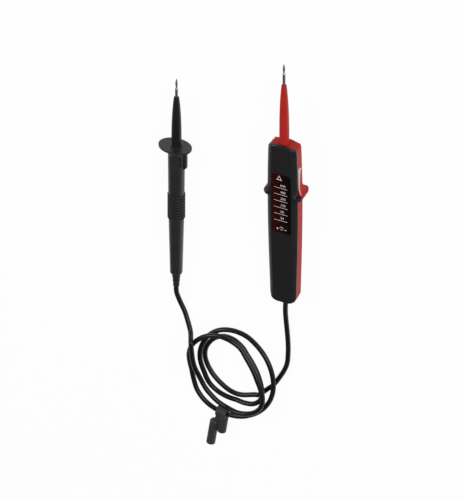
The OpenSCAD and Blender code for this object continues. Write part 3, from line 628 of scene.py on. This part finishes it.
def rise(y, scoop=GUARD_SCOOP):
    """How far the guard has risen at a distance from the cable end, from 0 to 1. It falls over the scoop."""
    if y < GUARD_Y:
        return max(0, 1 - (GUARD_Y - y) / GUARD_SLANT)
    s = min(1, 1 - (y - GUARD_Y - GUARD_RIM) / scoop)
    return 1 - math.sqrt(1 - s * s) if s > 0 else 0


print("guard at", GUARD_Y, "mm, it stands out", SLIM_SIDE, "mm")

# %% [markdown]
# Moving the points of a skin
#
# A point is first brought into the unit's own millimetres. Its distance from the middle of the corner's arc
# tells whether it lies on the round corner, and only then is it moved, so that flats stay flat. The cover's
# bevels go the same way. The guard's sides are drawn in by the ratio between the new rise and the old.

# %% Crisper flanks and a slimmer guard
BACK_ARC, BEVEL_ARC = (0.9, 1.06), (0.94, 1.06)


def slim(co, new_scoop=GUARD_SCOOP):
    """Draws the guard's sides in towards the flank, for a point in the unit's own frame."""
    edge = plain_half(co.y) - EDGE
    out = abs(co.x) - edge
    if out > 0:
        out *= (EDGE + SLIM_SIDE * rise(co.y, new_scoop)) / (EDGE + GUARD_SIDE * rise(co.y))
        co.x = math.copysign(edge + out, co.x)
    return co


def shell_point(world):
    """Slims the guard and sharpens the long corners at the back."""
    co = slim(unit_place.inverted() @ world)
    risen = rise(co.y)
    half, back = plain_half(co.y) + SLIM_SIDE * risen, -UNIT_DEPTH - GUARD_BACK * risen
    u = Vector((abs(co.x) - half + BACK_CORNER, back + BACK_CORNER - co.z)) / BACK_CORNER
    if min(u) > 0 and BACK_ARC[0] < u.length < BACK_ARC[1]:
        crisp = CRISP_CORNER + (BACK_CORNER - CRISP_CORNER) * risen
        co.x = math.copysign(half - crisp + crisp * u.x, co.x)
        co.z = back + crisp - crisp * u.y
    return unit_place @ co


def cover_point(world):
    """Keeps the cover straight beside the guard, with only a rim, and flattens its long bevels."""
    co = unit_place.inverted() @ world
    half = plain_half(co.y) + GUARD_SIDE * rise(co.y)
    u = Vector(((abs(co.x) - half) / BEVEL_W + 1, co.z / BEVEL_H + 1))
    on_arc = min(u) > 0 and BEVEL_ARC[0] < u.length < BEVEL_ARC[1]
    if on_arc and EDGE < co.y < UNIT_L - BEVEL_W:
        flat = u.lerp(u / (u.x + u.y), FLATTEN)
        co.x = math.copysign(half + (flat.x - 1) * BEVEL_W, co.x)
        co.z = (flat.y - 1) * BEVEL_H
    return unit_place @ slim(co, NO_SCOOP)


print("shapes: slim, shell_point, cover_point")

# %% [markdown]
# The red end wall
#
# At the tip's end the red of the rear shell reaches up into the black cover, round the foot of the sleeve.
# The wall is cut out of the cover's own shape with a box, so it ends flush with the cover, and the cover
# gets a notch that is wider than the wall by a fine gap. A boolean modifier with its exact solver does
# both. A box alone as a wall would stick out past the housing's rounded end.

# %% Helpers that cut one shape by another
def carve(mesh, cutter, how="DIFFERENCE"):
    """The mesh without the cutter's shape, or with INTERSECT only what lies in it."""
    whole, knife = link("whole", mesh), link("knife", cutter)
    cut = whole.modifiers.new("cut", "BOOLEAN")
    cut.operation, cut.solver, cut.object = how, "EXACT", knife
    done = bpy.data.meshes.new_from_object(whole.evaluated_get(bpy.context.evaluated_depsgraph_get()))
    for used in (whole, knife):
        bpy.data.objects.remove(used)
    done.materials.clear()
    return done


def block(low, high, place):
    """A box between two corners, in a place."""
    bm = bmesh.new()
    bmesh.ops.create_cube(bm, size=1)
    size = Vector(high) - Vector(low)
    middle = (Vector(high) + Vector(low)) / 2
    stretched = place @ Matrix.Translation(middle) @ Matrix.Diagonal((*size, 1))
    bmesh.ops.transform(bm, matrix=stretched, verts=bm.verts)
    mesh = bpy.data.meshes.new("block")
    bm.to_mesh(mesh)
    bm.free()
    return mesh


print("helpers: carve, block")

# %% Dress the shells and the sleeve
FIT_GAP = 0.05
WALL_W, WALL_L, WALL_Z, SHELL_END = 22, 3, -2.2, 175.2
dress("rear_shell", "rear_shell_skin", red_shell, "red_plastic", round_mm=0.3, shape=shell_point)
wall_box = block((-WALL_W / 2, SHELL_END - WALL_L, SEAM_Z), (WALL_W / 2, SHELL_END, WALL_Z), unit_place)
notch = block((-WALL_W / 2 - FIT_GAP, SHELL_END - WALL_L - FIT_GAP, SEAM_Z - EDGE),
              (WALL_W / 2 + FIT_GAP, UNIT_L + EDGE, WALL_Z + FIT_GAP), unit_place)
wall = carve(merged("front_cover", "end_wall", cover_point), wall_box, "INTERSECT")
finish_piece(rounded("end_wall", wall, red_shell, round_mm=0.15), "red_plastic")
cover = carve(merged("front_cover", "front_cover_skin", cover_point), notch)
cover_skin = rounded("front_cover_skin", cover, black_cover, round_mm=0.35, segments=3)
finish_piece(cover_skin, "cover_plastic", "front_cover")
dress("unit_sleeve", "unit_sleeve_skin", red_sleeve, "red_plastic", round_mm=0.2)
print("shells dressed:", len(cover.polygons), "faces on the cover,", len(wall.polygons), "on the end wall")

# %% [markdown]
# The window
#
# The lamps shine through one dark red pane. It is so dark that it looks black where it faces a dark side,
# and deep red where more light gets in. That shade is painted into its colour, which turns from red at one
# flank to black at the other.
# The ramp runs across the pane in the object's own space, and a second noise gives it a slight waviness, as
# a moulded pane has.

# %% The pane's finish
WINDOW_W = 18.2
WAVE_DEPTH = 0.02
pane_painted_shade, tree, shader = empty_material("dark red pane")
where = add_node(tree, "ShaderNodeTexCoord").outputs["Object"]
across = add_node(tree, "ShaderNodeSeparateXYZ", {"Vector": where}).outputs["X"]
# Painted shade: this ramp darkens the pane's colour from deep red at one flank to black at the other.
shade = add_node(tree, "ShaderNodeMapRange", {"Value": across, "From Min": (UNIT_X - WINDOW_W / 2) * MM,
                                              "From Max": (UNIT_X + WINDOW_W / 2) * MM})
wave = add_node(tree, "ShaderNodeTexNoise", {"Vector": where, "Scale": 90, "Detail": 2})
smear = add_node(tree, "ShaderNodeMapRange", {"Value": wave.outputs["Fac"], "To Min": 0.05, "To Max": 0.14})
bump = add_node(tree, "ShaderNodeBump", {"Height": wave.outputs["Fac"], "Distance": WAVE_DEPTH * MM})
pane = mix_colours(tree, shade.outputs[0], colour(50, 8, 7), colour(2, 1, 1))
feed(tree, shader, {"Base Color": pane, "Roughness": smear.outputs[0], "Normal": bump.outputs[0],
                    "Specular IOR Level": 0.15})
dress("display_window", "display_window_pane", pane_painted_shade, "window_plastic", round_mm=0.3)
print("pane:", WINDOW_W, "mm wide")

# %% [markdown]
# Print on the window
#
# Pale ink marks the scale: a thin line under each lamp, and the voltage above the line's right half. Real
# ink is a film of a few hundredths of a millimetre, so each sign is a very thin solid. The numbers are text
# turned into a mesh. The plus, the minus, the arc and the plain triangle are bands between two outlines of
# the same form.

# %% The ink
INK_T, INK_GRAIN, FILM_WELD = 0.03, 0.01, 0.0001
ink, tree, shader = empty_material("pale ink")
grain = add_node(tree, "ShaderNodeGroup", {"Grain scale": 4000, "Patch scale": 300}, node_tree=grain_group)
inked = mix_colours(tree, grain.outputs["Patches"], colour(222, 217, 215), colour(240, 236, 234))
rough = add_node(tree, "ShaderNodeMapRange",
                 {"Value": grain.outputs["Patches"], "To Min": 0.45, "To Max": 0.65})
bump = add_node(tree, "ShaderNodeBump", {"Height": grain.outputs["Height"], "Distance": INK_GRAIN * MM})
feed(tree, shader, {"Base Color": inked, "Roughness": rough.outputs[0], "Normal": bump.outputs[0]})
print("ink film:", INK_T, "mm")

# %% Helpers for signs and bands
def sign(bm, text, size, x, y, align="LEFT"):
    """Adds a number to the print, its baseline at that place on the unit's front, in millimetres."""
    letters = bpy.data.curves.new(text, "FONT")
    letters.body, letters.size, letters.align_x, letters.extrude = text, size, align, INK_T / 2
    seed = link(text, letters)
    mesh = bpy.data.meshes.new_from_object(seed.evaluated_get(bpy.context.evaluated_depsgraph_get()))
    bpy.data.objects.remove(seed)
    mesh.transform(Matrix.Translation((x, y, INK_T / 2)))
    bm.from_mesh(mesh)


def band_sign(bm, x, y, outline, outer=1, inner=0, closed=True):
    """Adds a thin band round a place, between an outline at two scales. The inner scale 0 fills it."""
    rows = [[bm.verts.new((x + scale * across, y + scale * along, z)) for across, along in outline]
            for scale in (outer, inner) for z in (0, INK_T)]
    low_out, high_out, low_in, high_in = rows
    count = len(outline)
    for i in range(count if closed else count - 1):
        j = (i + 1) % count
        for a, b in ((low_out, high_out), (high_out, high_in), (high_in, low_in), (low_in, low_out)):
            bm.faces.new((a[i], a[j], b[j], b[i]))
    if not closed:
        bm.faces.new((low_out[0], high_out[0], high_in[0], low_in[0]))
        bm.faces.new((low_out[-1], low_in[-1], high_in[-1], high_out[-1]))


print("helpers: sign, band_sign")

# %% Places of the numbers and signs
# Millimetres in the unit's own frame, and degrees for the arc.
LAMP_PITCH, FIRST_LINE = 7.3, 92.9
VOLTS = ("24", "50", "120", "230", "400", "690")
NUMBER_H, NUMBER_RISE, NUMBER_X = 3.3, 1.9, -0.7
LOWEST_VOLTS, LOWEST_H, LOWEST_X, LOWEST_Y = "12", 2.5, 0.3, 82
STROKE, POLES_Y = 0.65, 83.3
PLUS_X, PLUS_L, MINUS_X, MINUS_L = -3.5, 2, 4, 1.8
TRIANGLE_X, TRIANGLE_Y, TRIANGLE_HOLE = -1.7, 140, 0.66
TRIANGLE = ((0, 3.2), (-2.6, -2), (2.6, -2))
ARC_Y, ARC_R, ARC_INNER_R, ARC_START, ARC_STEP, ARC_STEPS = 83.4, 2.5, 2.05, 35, 11, 10
print("scale:", len(VOLTS), "lines,", LAMP_PITCH, "mm apart")

# %% Print the numbers and signs
bm = bmesh.new()
for i, volts in enumerate(VOLTS):
    sign(bm, volts, NUMBER_H, NUMBER_X, FIRST_LINE + i * LAMP_PITCH + NUMBER_RISE)
sign(bm, LOWEST_VOLTS, LOWEST_H, LOWEST_X, LOWEST_Y, "CENTER")
for x, wide, high in ((PLUS_X, PLUS_L, STROKE), (PLUS_X, STROKE, PLUS_L), (MINUS_X, MINUS_L, STROKE)):
    band_sign(bm, x, POLES_Y, [(wide / 2 * i, high / 2 * j) for i, j in ((-1, -1), (1, -1), (1, 1), (-1, 1))])
band_sign(bm, TRIANGLE_X, TRIANGLE_Y, TRIANGLE, inner=TRIANGLE_HOLE)
turn = [math.radians(ARC_START + ARC_STEP * i) for i in range(ARC_STEPS + 1)]
band_sign(bm, LOWEST_X, ARC_Y, [(math.cos(a), math.sin(a)) for a in turn], ARC_R, ARC_INNER_R, closed=False)
bmesh.ops.remove_doubles(bm, verts=bm.verts, dist=FILM_WELD)
bmesh.ops.recalc_face_normals(bm, faces=bm.faces)
mesh = bpy.data.meshes.new("window_print")
bm.to_mesh(mesh)
bm.free()
mesh.transform(unit_place)
mesh.materials.clear()
finish_piece(link("window_print", mesh, ink), "pale_plastic")
print("print:", len(mesh.polygons), "faces")

# %% [markdown]
# Geometry Nodes for what repeats
#
# The lines of the scale, the screws in the back and the ribs of the grip ring each repeat one shape at an
# even pitch. A node tree makes the shape once and sets it out along a line. Its sizes are named inputs, so
# the same tree would serve a longer scale. The result is turned into a plain mesh, because only a mesh can
# be exported.

# %% Helper that runs a tree
def grow(name, tree, place, **sizes):
    """The object that a node tree makes from its named sizes, with the place put into its mesh."""
    seed = link(name + "_seed", bpy.data.meshes.new(name))
    maker = seed.modifiers.new("maker", "NODES")
    maker.node_group = tree
    for socket in tree.interface.items_tree:
        if socket.name in sizes:
            maker[socket.identifier] = sizes[socket.name]
    mesh = bpy.data.meshes.new_from_object(seed.evaluated_get(bpy.context.evaluated_depsgraph_get()))
    bpy.data.objects.remove(seed)
    mesh.transform(place)
    bm = bmesh.new()
    bm.from_mesh(mesh)
    bmesh.ops.recalc_face_normals(bm, faces=bm.faces)
    bm.to_mesh(mesh)
    bm.free()
    return link(name, mesh)


def set_out(tree, shape, given, made, material, under=None):
    """Ends a tree: the shape along Y at a pitch, with what lies under it, made real and with its material."""
    step = add_node(tree, "ShaderNodeCombineXYZ", {"Y": given.outputs["Pitch"]})
    row = add_node(tree, "GeometryNodeMeshLine", {"Count": given.outputs["Count"], "Offset": step.outputs[0]})
    copies = add_node(tree, "GeometryNodeInstanceOnPoints", {"Points": row.outputs[0], "Instance": shape})
    both = add_node(tree, "GeometryNodeJoinGeometry", {0: copies.outputs[0]})
    if under:
        feed(tree, both, {0: under})
    whole = add_node(tree, "GeometryNodeRealizeInstances", {0: both.outputs[0]})
    covered = add_node(tree, "GeometryNodeSetMaterial", {"Geometry": whole.outputs[0], "Material": material})
    tree.links.new(covered.outputs[0], made.inputs[0])


print("helpers: grow, set_out")

# %% Lines of the scale
LINE_FROM, LINE_TO, LINE_W = -6.7, 5.9, 0.38
tree, given, made = new_group(
    "Scale lines", "GeometryNodeTree",
    {"Count": "Int", "Pitch": "Float", "Length": "Float", "Width": "Float", "Thickness": "Float"},
    {"Geometry": "Geometry"})
size = add_node(tree, "ShaderNodeCombineXYZ", {"X": given.outputs["Length"], "Y": given.outputs["Width"],
                                               "Z": given.outputs["Thickness"]})
bar = add_node(tree, "GeometryNodeMeshCube", {"Size": size.outputs[0]})
set_out(tree, bar.outputs["Mesh"], given, made, ink)
place = unit_place @ Matrix.Translation(((LINE_FROM + LINE_TO) / 2, FIRST_LINE, INK_T / 2))
lines = grow("scale_lines", tree, place, Count=len(VOLTS), Pitch=LAMP_PITCH, Length=LINE_TO - LINE_FROM,
             Width=LINE_W, Thickness=INK_T)
finish_piece(lines, "pale_plastic")
print("scale:", len(lines.data.polygons), "faces")

# %% [markdown]
# Metal
#
# The tips and the screws are steel. A turned tip has very fine rings from the tool that cut it, and its
# colour is not even, because fingers and sockets stain it. The rings are bands along the tip, and the stain
# is a slow noise that also makes the metal rougher. A shader that stretches its highlights could stand for
# the turning marks from afar, but a fine bump holds close up too.

# %% The metals
def metal(name, bright, dull, rough, rings=0, depth=0.01):
    """Bare metal: its clean and stained shade, its range of roughness, and turned rings per metre."""
    material, tree, shader = empty_material(name)
    where = add_node(tree, "ShaderNodeTexCoord").outputs["Object"]
    stain = add_node(tree, "ShaderNodeTexNoise", {"Vector": where, "Scale": 260, "Detail": 5})
    fine = add_node(tree, "ShaderNodeTexNoise", {"Vector": where, "Scale": 5200, "Detail": 2})
    height = fine.outputs["Fac"]
    if rings:
        bands = add_node(tree, "ShaderNodeTexWave", {"Vector": where, "Scale": rings, "Distortion": 1.2},
                         bands_direction="Y")
        ringed = add_node(tree, "ShaderNodeMath", {0: bands.outputs["Fac"], 1: height}, operation="ADD")
        height = ringed.outputs[0]
    shown = mix_colours(tree, stain.outputs["Fac"], colour(*bright), colour(*dull))
    stained = patchy_roughness(tree, stain.outputs["Fac"], rough)
    bump = add_node(tree, "ShaderNodeBump", {"Height": height, "Distance": depth * MM})
    feed(tree, shader, {"Base Color": shown, "Roughness": stained, "Normal": bump.outputs[0], "Metallic": 1})
    return material


turned_steel = metal("turned steel", (184, 182, 178), (128, 124, 120), (0.26, 0.42), rings=420)
plain_steel = metal("plain steel", (150, 150, 150), (104, 103, 102), (0.3, 0.48))
bare_brass = metal("bare brass", (206, 172, 96), (160, 126, 66), (0.28, 0.45))
print("metals:", turned_steel.name, plain_steel.name, bare_brass.name)

# %% [markdown]
# The screws in the back
#
# Two screws hold the shells together from the back. Each is a flat head on a plain shank, and the head has
# a cross recess that is cut by two bars. The tree lowers the head by half its height and lifts the shank by
# half its length, so that both meet at the seat at any size.

# %% Parts of a screw's tree
SCREW_Y, SCREW_PITCH, SEAT_Z = 38, 114, -12.3
DISC_SIDES = 40
tree, given, made = new_group(
    "Cross screws", "GeometryNodeTree",
    {"Count": "Int", "Pitch": "Float", "Head radius": "Float", "Head height": "Float",
     "Shank radius": "Float", "Shank length": "Float", "Cross length": "Float", "Cross width": "Float"},
    {"Geometry": "Geometry"})


def up_by(size, halves):
    """A vector straight up by a number of half sizes, or down if the number is negative."""
    half = add_node(tree, "ShaderNodeMath", {0: size, 1: halves / 2}, operation="MULTIPLY")
    return add_node(tree, "ShaderNodeCombineXYZ", {"Z": half.outputs[0]}).outputs[0]


def disc(radius, depth, side):
    """A round disc that stands on the seat with the side 1, or hangs below it with the side -1."""
    solid = add_node(tree, "GeometryNodeMeshCylinder",
                     {"Vertices": DISC_SIDES, "Radius": radius, "Depth": depth})
    return add_node(tree, "GeometryNodeTransform", {"Geometry": solid.outputs["Mesh"],
                                                    "Translation": up_by(depth, side)}).outputs[0]


head_height = given.outputs["Head height"]
head = disc(given.outputs["Head radius"], head_height, -1)
shank = disc(given.outputs["Shank radius"], given.outputs["Shank length"], 1)
print("tree:", tree.name)

# %% Cut the recess and grow the screws
head_end = up_by(head_height, -2)
cross = add_node(tree, "GeometryNodeMeshBoolean", {"Mesh 1": head}, operation="DIFFERENCE")
for x, y in (("Cross length", "Cross width"), ("Cross width", "Cross length")):
    size = add_node(tree, "ShaderNodeCombineXYZ",
                    {"X": given.outputs[x], "Y": given.outputs[y], "Z": head_height})
    bar = add_node(tree, "GeometryNodeMeshCube", {"Size": size.outputs[0]})
    sunk = add_node(tree, "GeometryNodeTransform", {"Geometry": bar.outputs["Mesh"], "Translation": head_end})
    feed(tree, cross, {"Mesh 2": sunk.outputs[0]})
screw = add_node(tree, "GeometryNodeJoinGeometry", {0: cross.outputs["Mesh"]})
feed(tree, screw, {0: shank})
set_out(tree, screw.outputs[0], given, made, plain_steel)
screws = grow("cross_screws", tree, unit_place @ Matrix.Translation((0, SCREW_Y, SEAT_Z)),
              **{"Count": 2, "Pitch": SCREW_PITCH, "Head radius": 2.3, "Head height": 2, "Shank radius": 1.05,
                 "Shank length": 8.7, "Cross length": 2.9, "Cross width": 0.7})
finish_piece(screws, "screw_steel", "case_screws")
print("screws:", len(screws.data.polygons), "faces")

# %% [markdown]
# The second probe
#
# A slim handle with an oval guard, a docking rib, a sleeve and a stepped strain relief, all black. They
# differ only in gloss: the handle has the mould's fine grain, the sleeve is smoother and the strain relief
# is rubber. Their solids have the true form, so each is a rounded copy, and all the difference is in its
# finish.

# %% Dress the second probe
dress("probe_handle", "probe_handle_skin", black_handle, "handle_plastic", round_mm=0.3)
dress("probe_sleeve", "probe_sleeve_skin", black_sleeve, "sleeve_plastic", round_mm=0.2)
dress("probe_boot", "probe_boot_skin", ribbed_rubber, "grip_rubber", round_mm=0.25)
print("probe dressed")

# %% [markdown]
# The ribbed ring
#
# The ring on the handle is soft rubber with round ribs that stop the fingers. Each rib is a small rounded
# outline swept round a circle, and the ring under them is a flat band swept the same way. Sweeping keeps
# every rib round at any size, which a stretched torus would not.

# %% Parts of the ring's tree
GRIP_Y, GRIP_L, RIB_COUNT, RING_R, BORE_R = 61.7, 27.5, 9, 7.05, 6.35
RIB_PITCH, RIB_SHARE = GRIP_L / RIB_COUNT, 0.425
RIB_H, RIB_W, RIB_ROUNDING, BAND_ROUNDING = 0.8, 1.5, 0.7, 0.1
SWEEP_STEPS, ROUNDING_STEPS = 64, 4
tree, given, made = new_group(
    "Ribbed ring", "GeometryNodeTree",
    {"Count": "Int", "Pitch": "Float", "Ring radius": "Float", "Bore radius": "Float", "Rib height": "Float",
     "Rib width": "Float"}, {"Geometry": "Geometry"})


def swept(radius, wide, long, rounding):
    """A rounded rectangle swept round the probe's axis, which is Y."""
    circle = add_node(tree, "GeometryNodeCurvePrimitiveCircle", {"Resolution": SWEEP_STEPS, "Radius": radius})
    outline = add_node(tree, "GeometryNodeCurvePrimitiveQuadrilateral", {"Width": wide, "Height": long})
    soft = add_node(tree, "GeometryNodeFilletCurve",
                    {"Curve": outline.outputs[0], "Radius": rounding, "Count": ROUNDING_STEPS}, mode="POLY")
    ring = add_node(tree, "GeometryNodeCurveToMesh",
                    {"Curve": circle.outputs[0], "Profile Curve": soft.outputs[0]})
    return add_node(tree, "GeometryNodeTransform", {"Geometry": ring.outputs[0],
                                                    "Rotation": (math.pi / 2, 0, 0)}).outputs[0]


def reckon(how, a, b):
    """The result of ADD, SUBTRACT or MULTIPLY, worked out in the tree."""
    return add_node(tree, "ShaderNodeMath", {0: a, 1: b}, operation=how).outputs[0]


ring_r, bore_r, pitch = (given.outputs[name] for name in ("Ring radius", "Bore radius", "Pitch"))
band_r = reckon("MULTIPLY", reckon("ADD", ring_r, bore_r), 0.5)
band_l = reckon("MULTIPLY", pitch, given.outputs["Count"])
band_wall = reckon("SUBTRACT", ring_r, bore_r)
band = swept(band_r, band_wall, reckon("SUBTRACT", band_l, FIT_GAP * 2), BAND_ROUNDING)
rib_wall = reckon("MULTIPLY", given.outputs["Rib height"], 2)
rib = swept(ring_r, rib_wall, given.outputs["Rib width"], RIB_ROUNDING)
print("tree:", tree.name)

# %% Grow the ribbed ring
past_first_rib = reckon("SUBTRACT", reckon("MULTIPLY", band_l, 0.5), reckon("MULTIPLY", pitch, RIB_SHARE))
moved = add_node(tree, "ShaderNodeCombineXYZ", {"Y": past_first_rib})
band = add_node(tree, "GeometryNodeTransform", {"Geometry": band, "Translation": moved.outputs[0]})
set_out(tree, rib, given, made, ribbed_rubber, band.outputs[0])
place = probe_place @ Matrix.Translation((0, GRIP_Y + RIB_PITCH * RIB_SHARE, 0))
ring = grow("grip_ring", tree, place, **{"Count": RIB_COUNT, "Pitch": RIB_PITCH, "Ring radius": RING_R,
                                         "Bore radius": BORE_R, "Rib height": RIB_H, "Rib width": RIB_W})
for face in ring.data.polygons:
    face.use_smooth = True
finish_piece(ring, "grip_rubber", "probe_grip")
print("ribbed ring:", len(ring.data.polygons), "faces")

# %% [markdown]
# The pale strip, a painted highlight
#
# A pale strip lies in the right flank, just under the cover's edge, with its narrow end at the guard. Its
# pale
# colour is a painted highlight: it stands for a streak of light reflected along the glossy flank. A small
# share of subsurface scattering lets light go a little way into it and softens its edges.

# %% Dress the strip
# Painted highlight: the strip's pale colour stands for light reflected along the flank.
painted_highlight_strip = moulded("pale strip", (208, 196, 199), (190, 178, 182), (0.4, 0.52), depth=0.02, scuffs=0.1)
strip_tree = painted_highlight_strip.node_tree
feed(strip_tree, strip_tree.nodes["Principled BSDF"], {"Subsurface Weight": 0.1, "Subsurface Scale": MM})
dress("side_window", "side_strip", painted_highlight_strip, "pale_plastic", round_mm=0.2, shape=shell_point)
print("strip:", painted_highlight_strip.name)

# %% [markdown]
# Pieces that stay solids
#
# The tips and all that is inside the housings already have their true shape, so they stay as they are and
# only take a finish. Most are moulded or painted, and the recipe above serves them too. The board has
# copper tracks under green varnish, and the resistors carry coloured rings.

# %% Helpers for the inner pieces
def finish_solid(node, material):
    """Gives a solid its finish, in every slot that it has."""
    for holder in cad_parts[node].material_slots:
        holder.material = material


def banded(name, base, ring, rough, scale):
    """A painted body with rings along Y: its two colours, roughness and rings per metre."""
    material = moulded(name, base, base, rough, scuffs=0, depth=0.015)
    tree, shader = material.node_tree, material.node_tree.nodes["Principled BSDF"]
    under = shader.inputs["Base Color"].links[0].from_socket
    where = add_node(tree, "ShaderNodeTexCoord").outputs["Object"]
    bands = add_node(tree, "ShaderNodeTexWave", {"Vector": where, "Scale": scale}, bands_direction="Y")
    thin = add_node(tree, "ShaderNodeMapRange",
                    {"Value": bands.outputs["Fac"], "From Min": 0.8, "From Max": 0.86})
    feed(tree, shader, {"Base Color": mix_colours(tree, thin.outputs[0], under, colour(*ring))})
    return material


print("helpers: finish_solid, banded")

# %% Finish the inner pieces
inner_finishes = {
    "unit_tip": turned_steel, "probe_tip": turned_steel, "clamp_screws": plain_steel,
    "tip_contact": bare_brass, "probe_crimp": bare_brass,
    "cable_clamp": black_handle, "unit_cable_tail": cable_sheath, "probe_cable_tail": cable_sheath,
    "circuit_board": banded("varnished board", (28, 92, 52), (46, 118, 66), (0.25, 0.4), 70),
    "series_resistors": banded("lacquered resistor", (150, 118, 84), (96, 44, 32), (0.3, 0.42), 120),
    "probe_resistor": banded("large resistor", (132, 98, 70), (84, 40, 30), (0.3, 0.42), 90),
    "load_thermistor": moulded("lacquered thermistor", (62, 82, 124), (72, 92, 134), (0.2, 0.32), scuffs=0),
    "driver_chips": moulded("chip body", (26, 26, 27), (34, 34, 35), (0.45, 0.6), scuffs=0),
    "lamps": moulded("red lamp", (150, 22, 18), (172, 30, 24), (0.08, 0.16), depth=0.004, scuffs=0),
}
for node, material in inner_finishes.items():
    finish_solid(node, material)
print("solids with a finish:", len(inner_finishes))

# %% [markdown]
# The last measure
#
# The box round all the skins has to lie inside the box round the solids, because the part is placed by that
# box. So both are printed next to each other.

# %% Measure and finish
size = {"cad": [list(p) for p in cad_box], "visual": [list(p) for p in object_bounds()]}
print("cad box:", size["cad"])
print("visual box:", size["visual"])
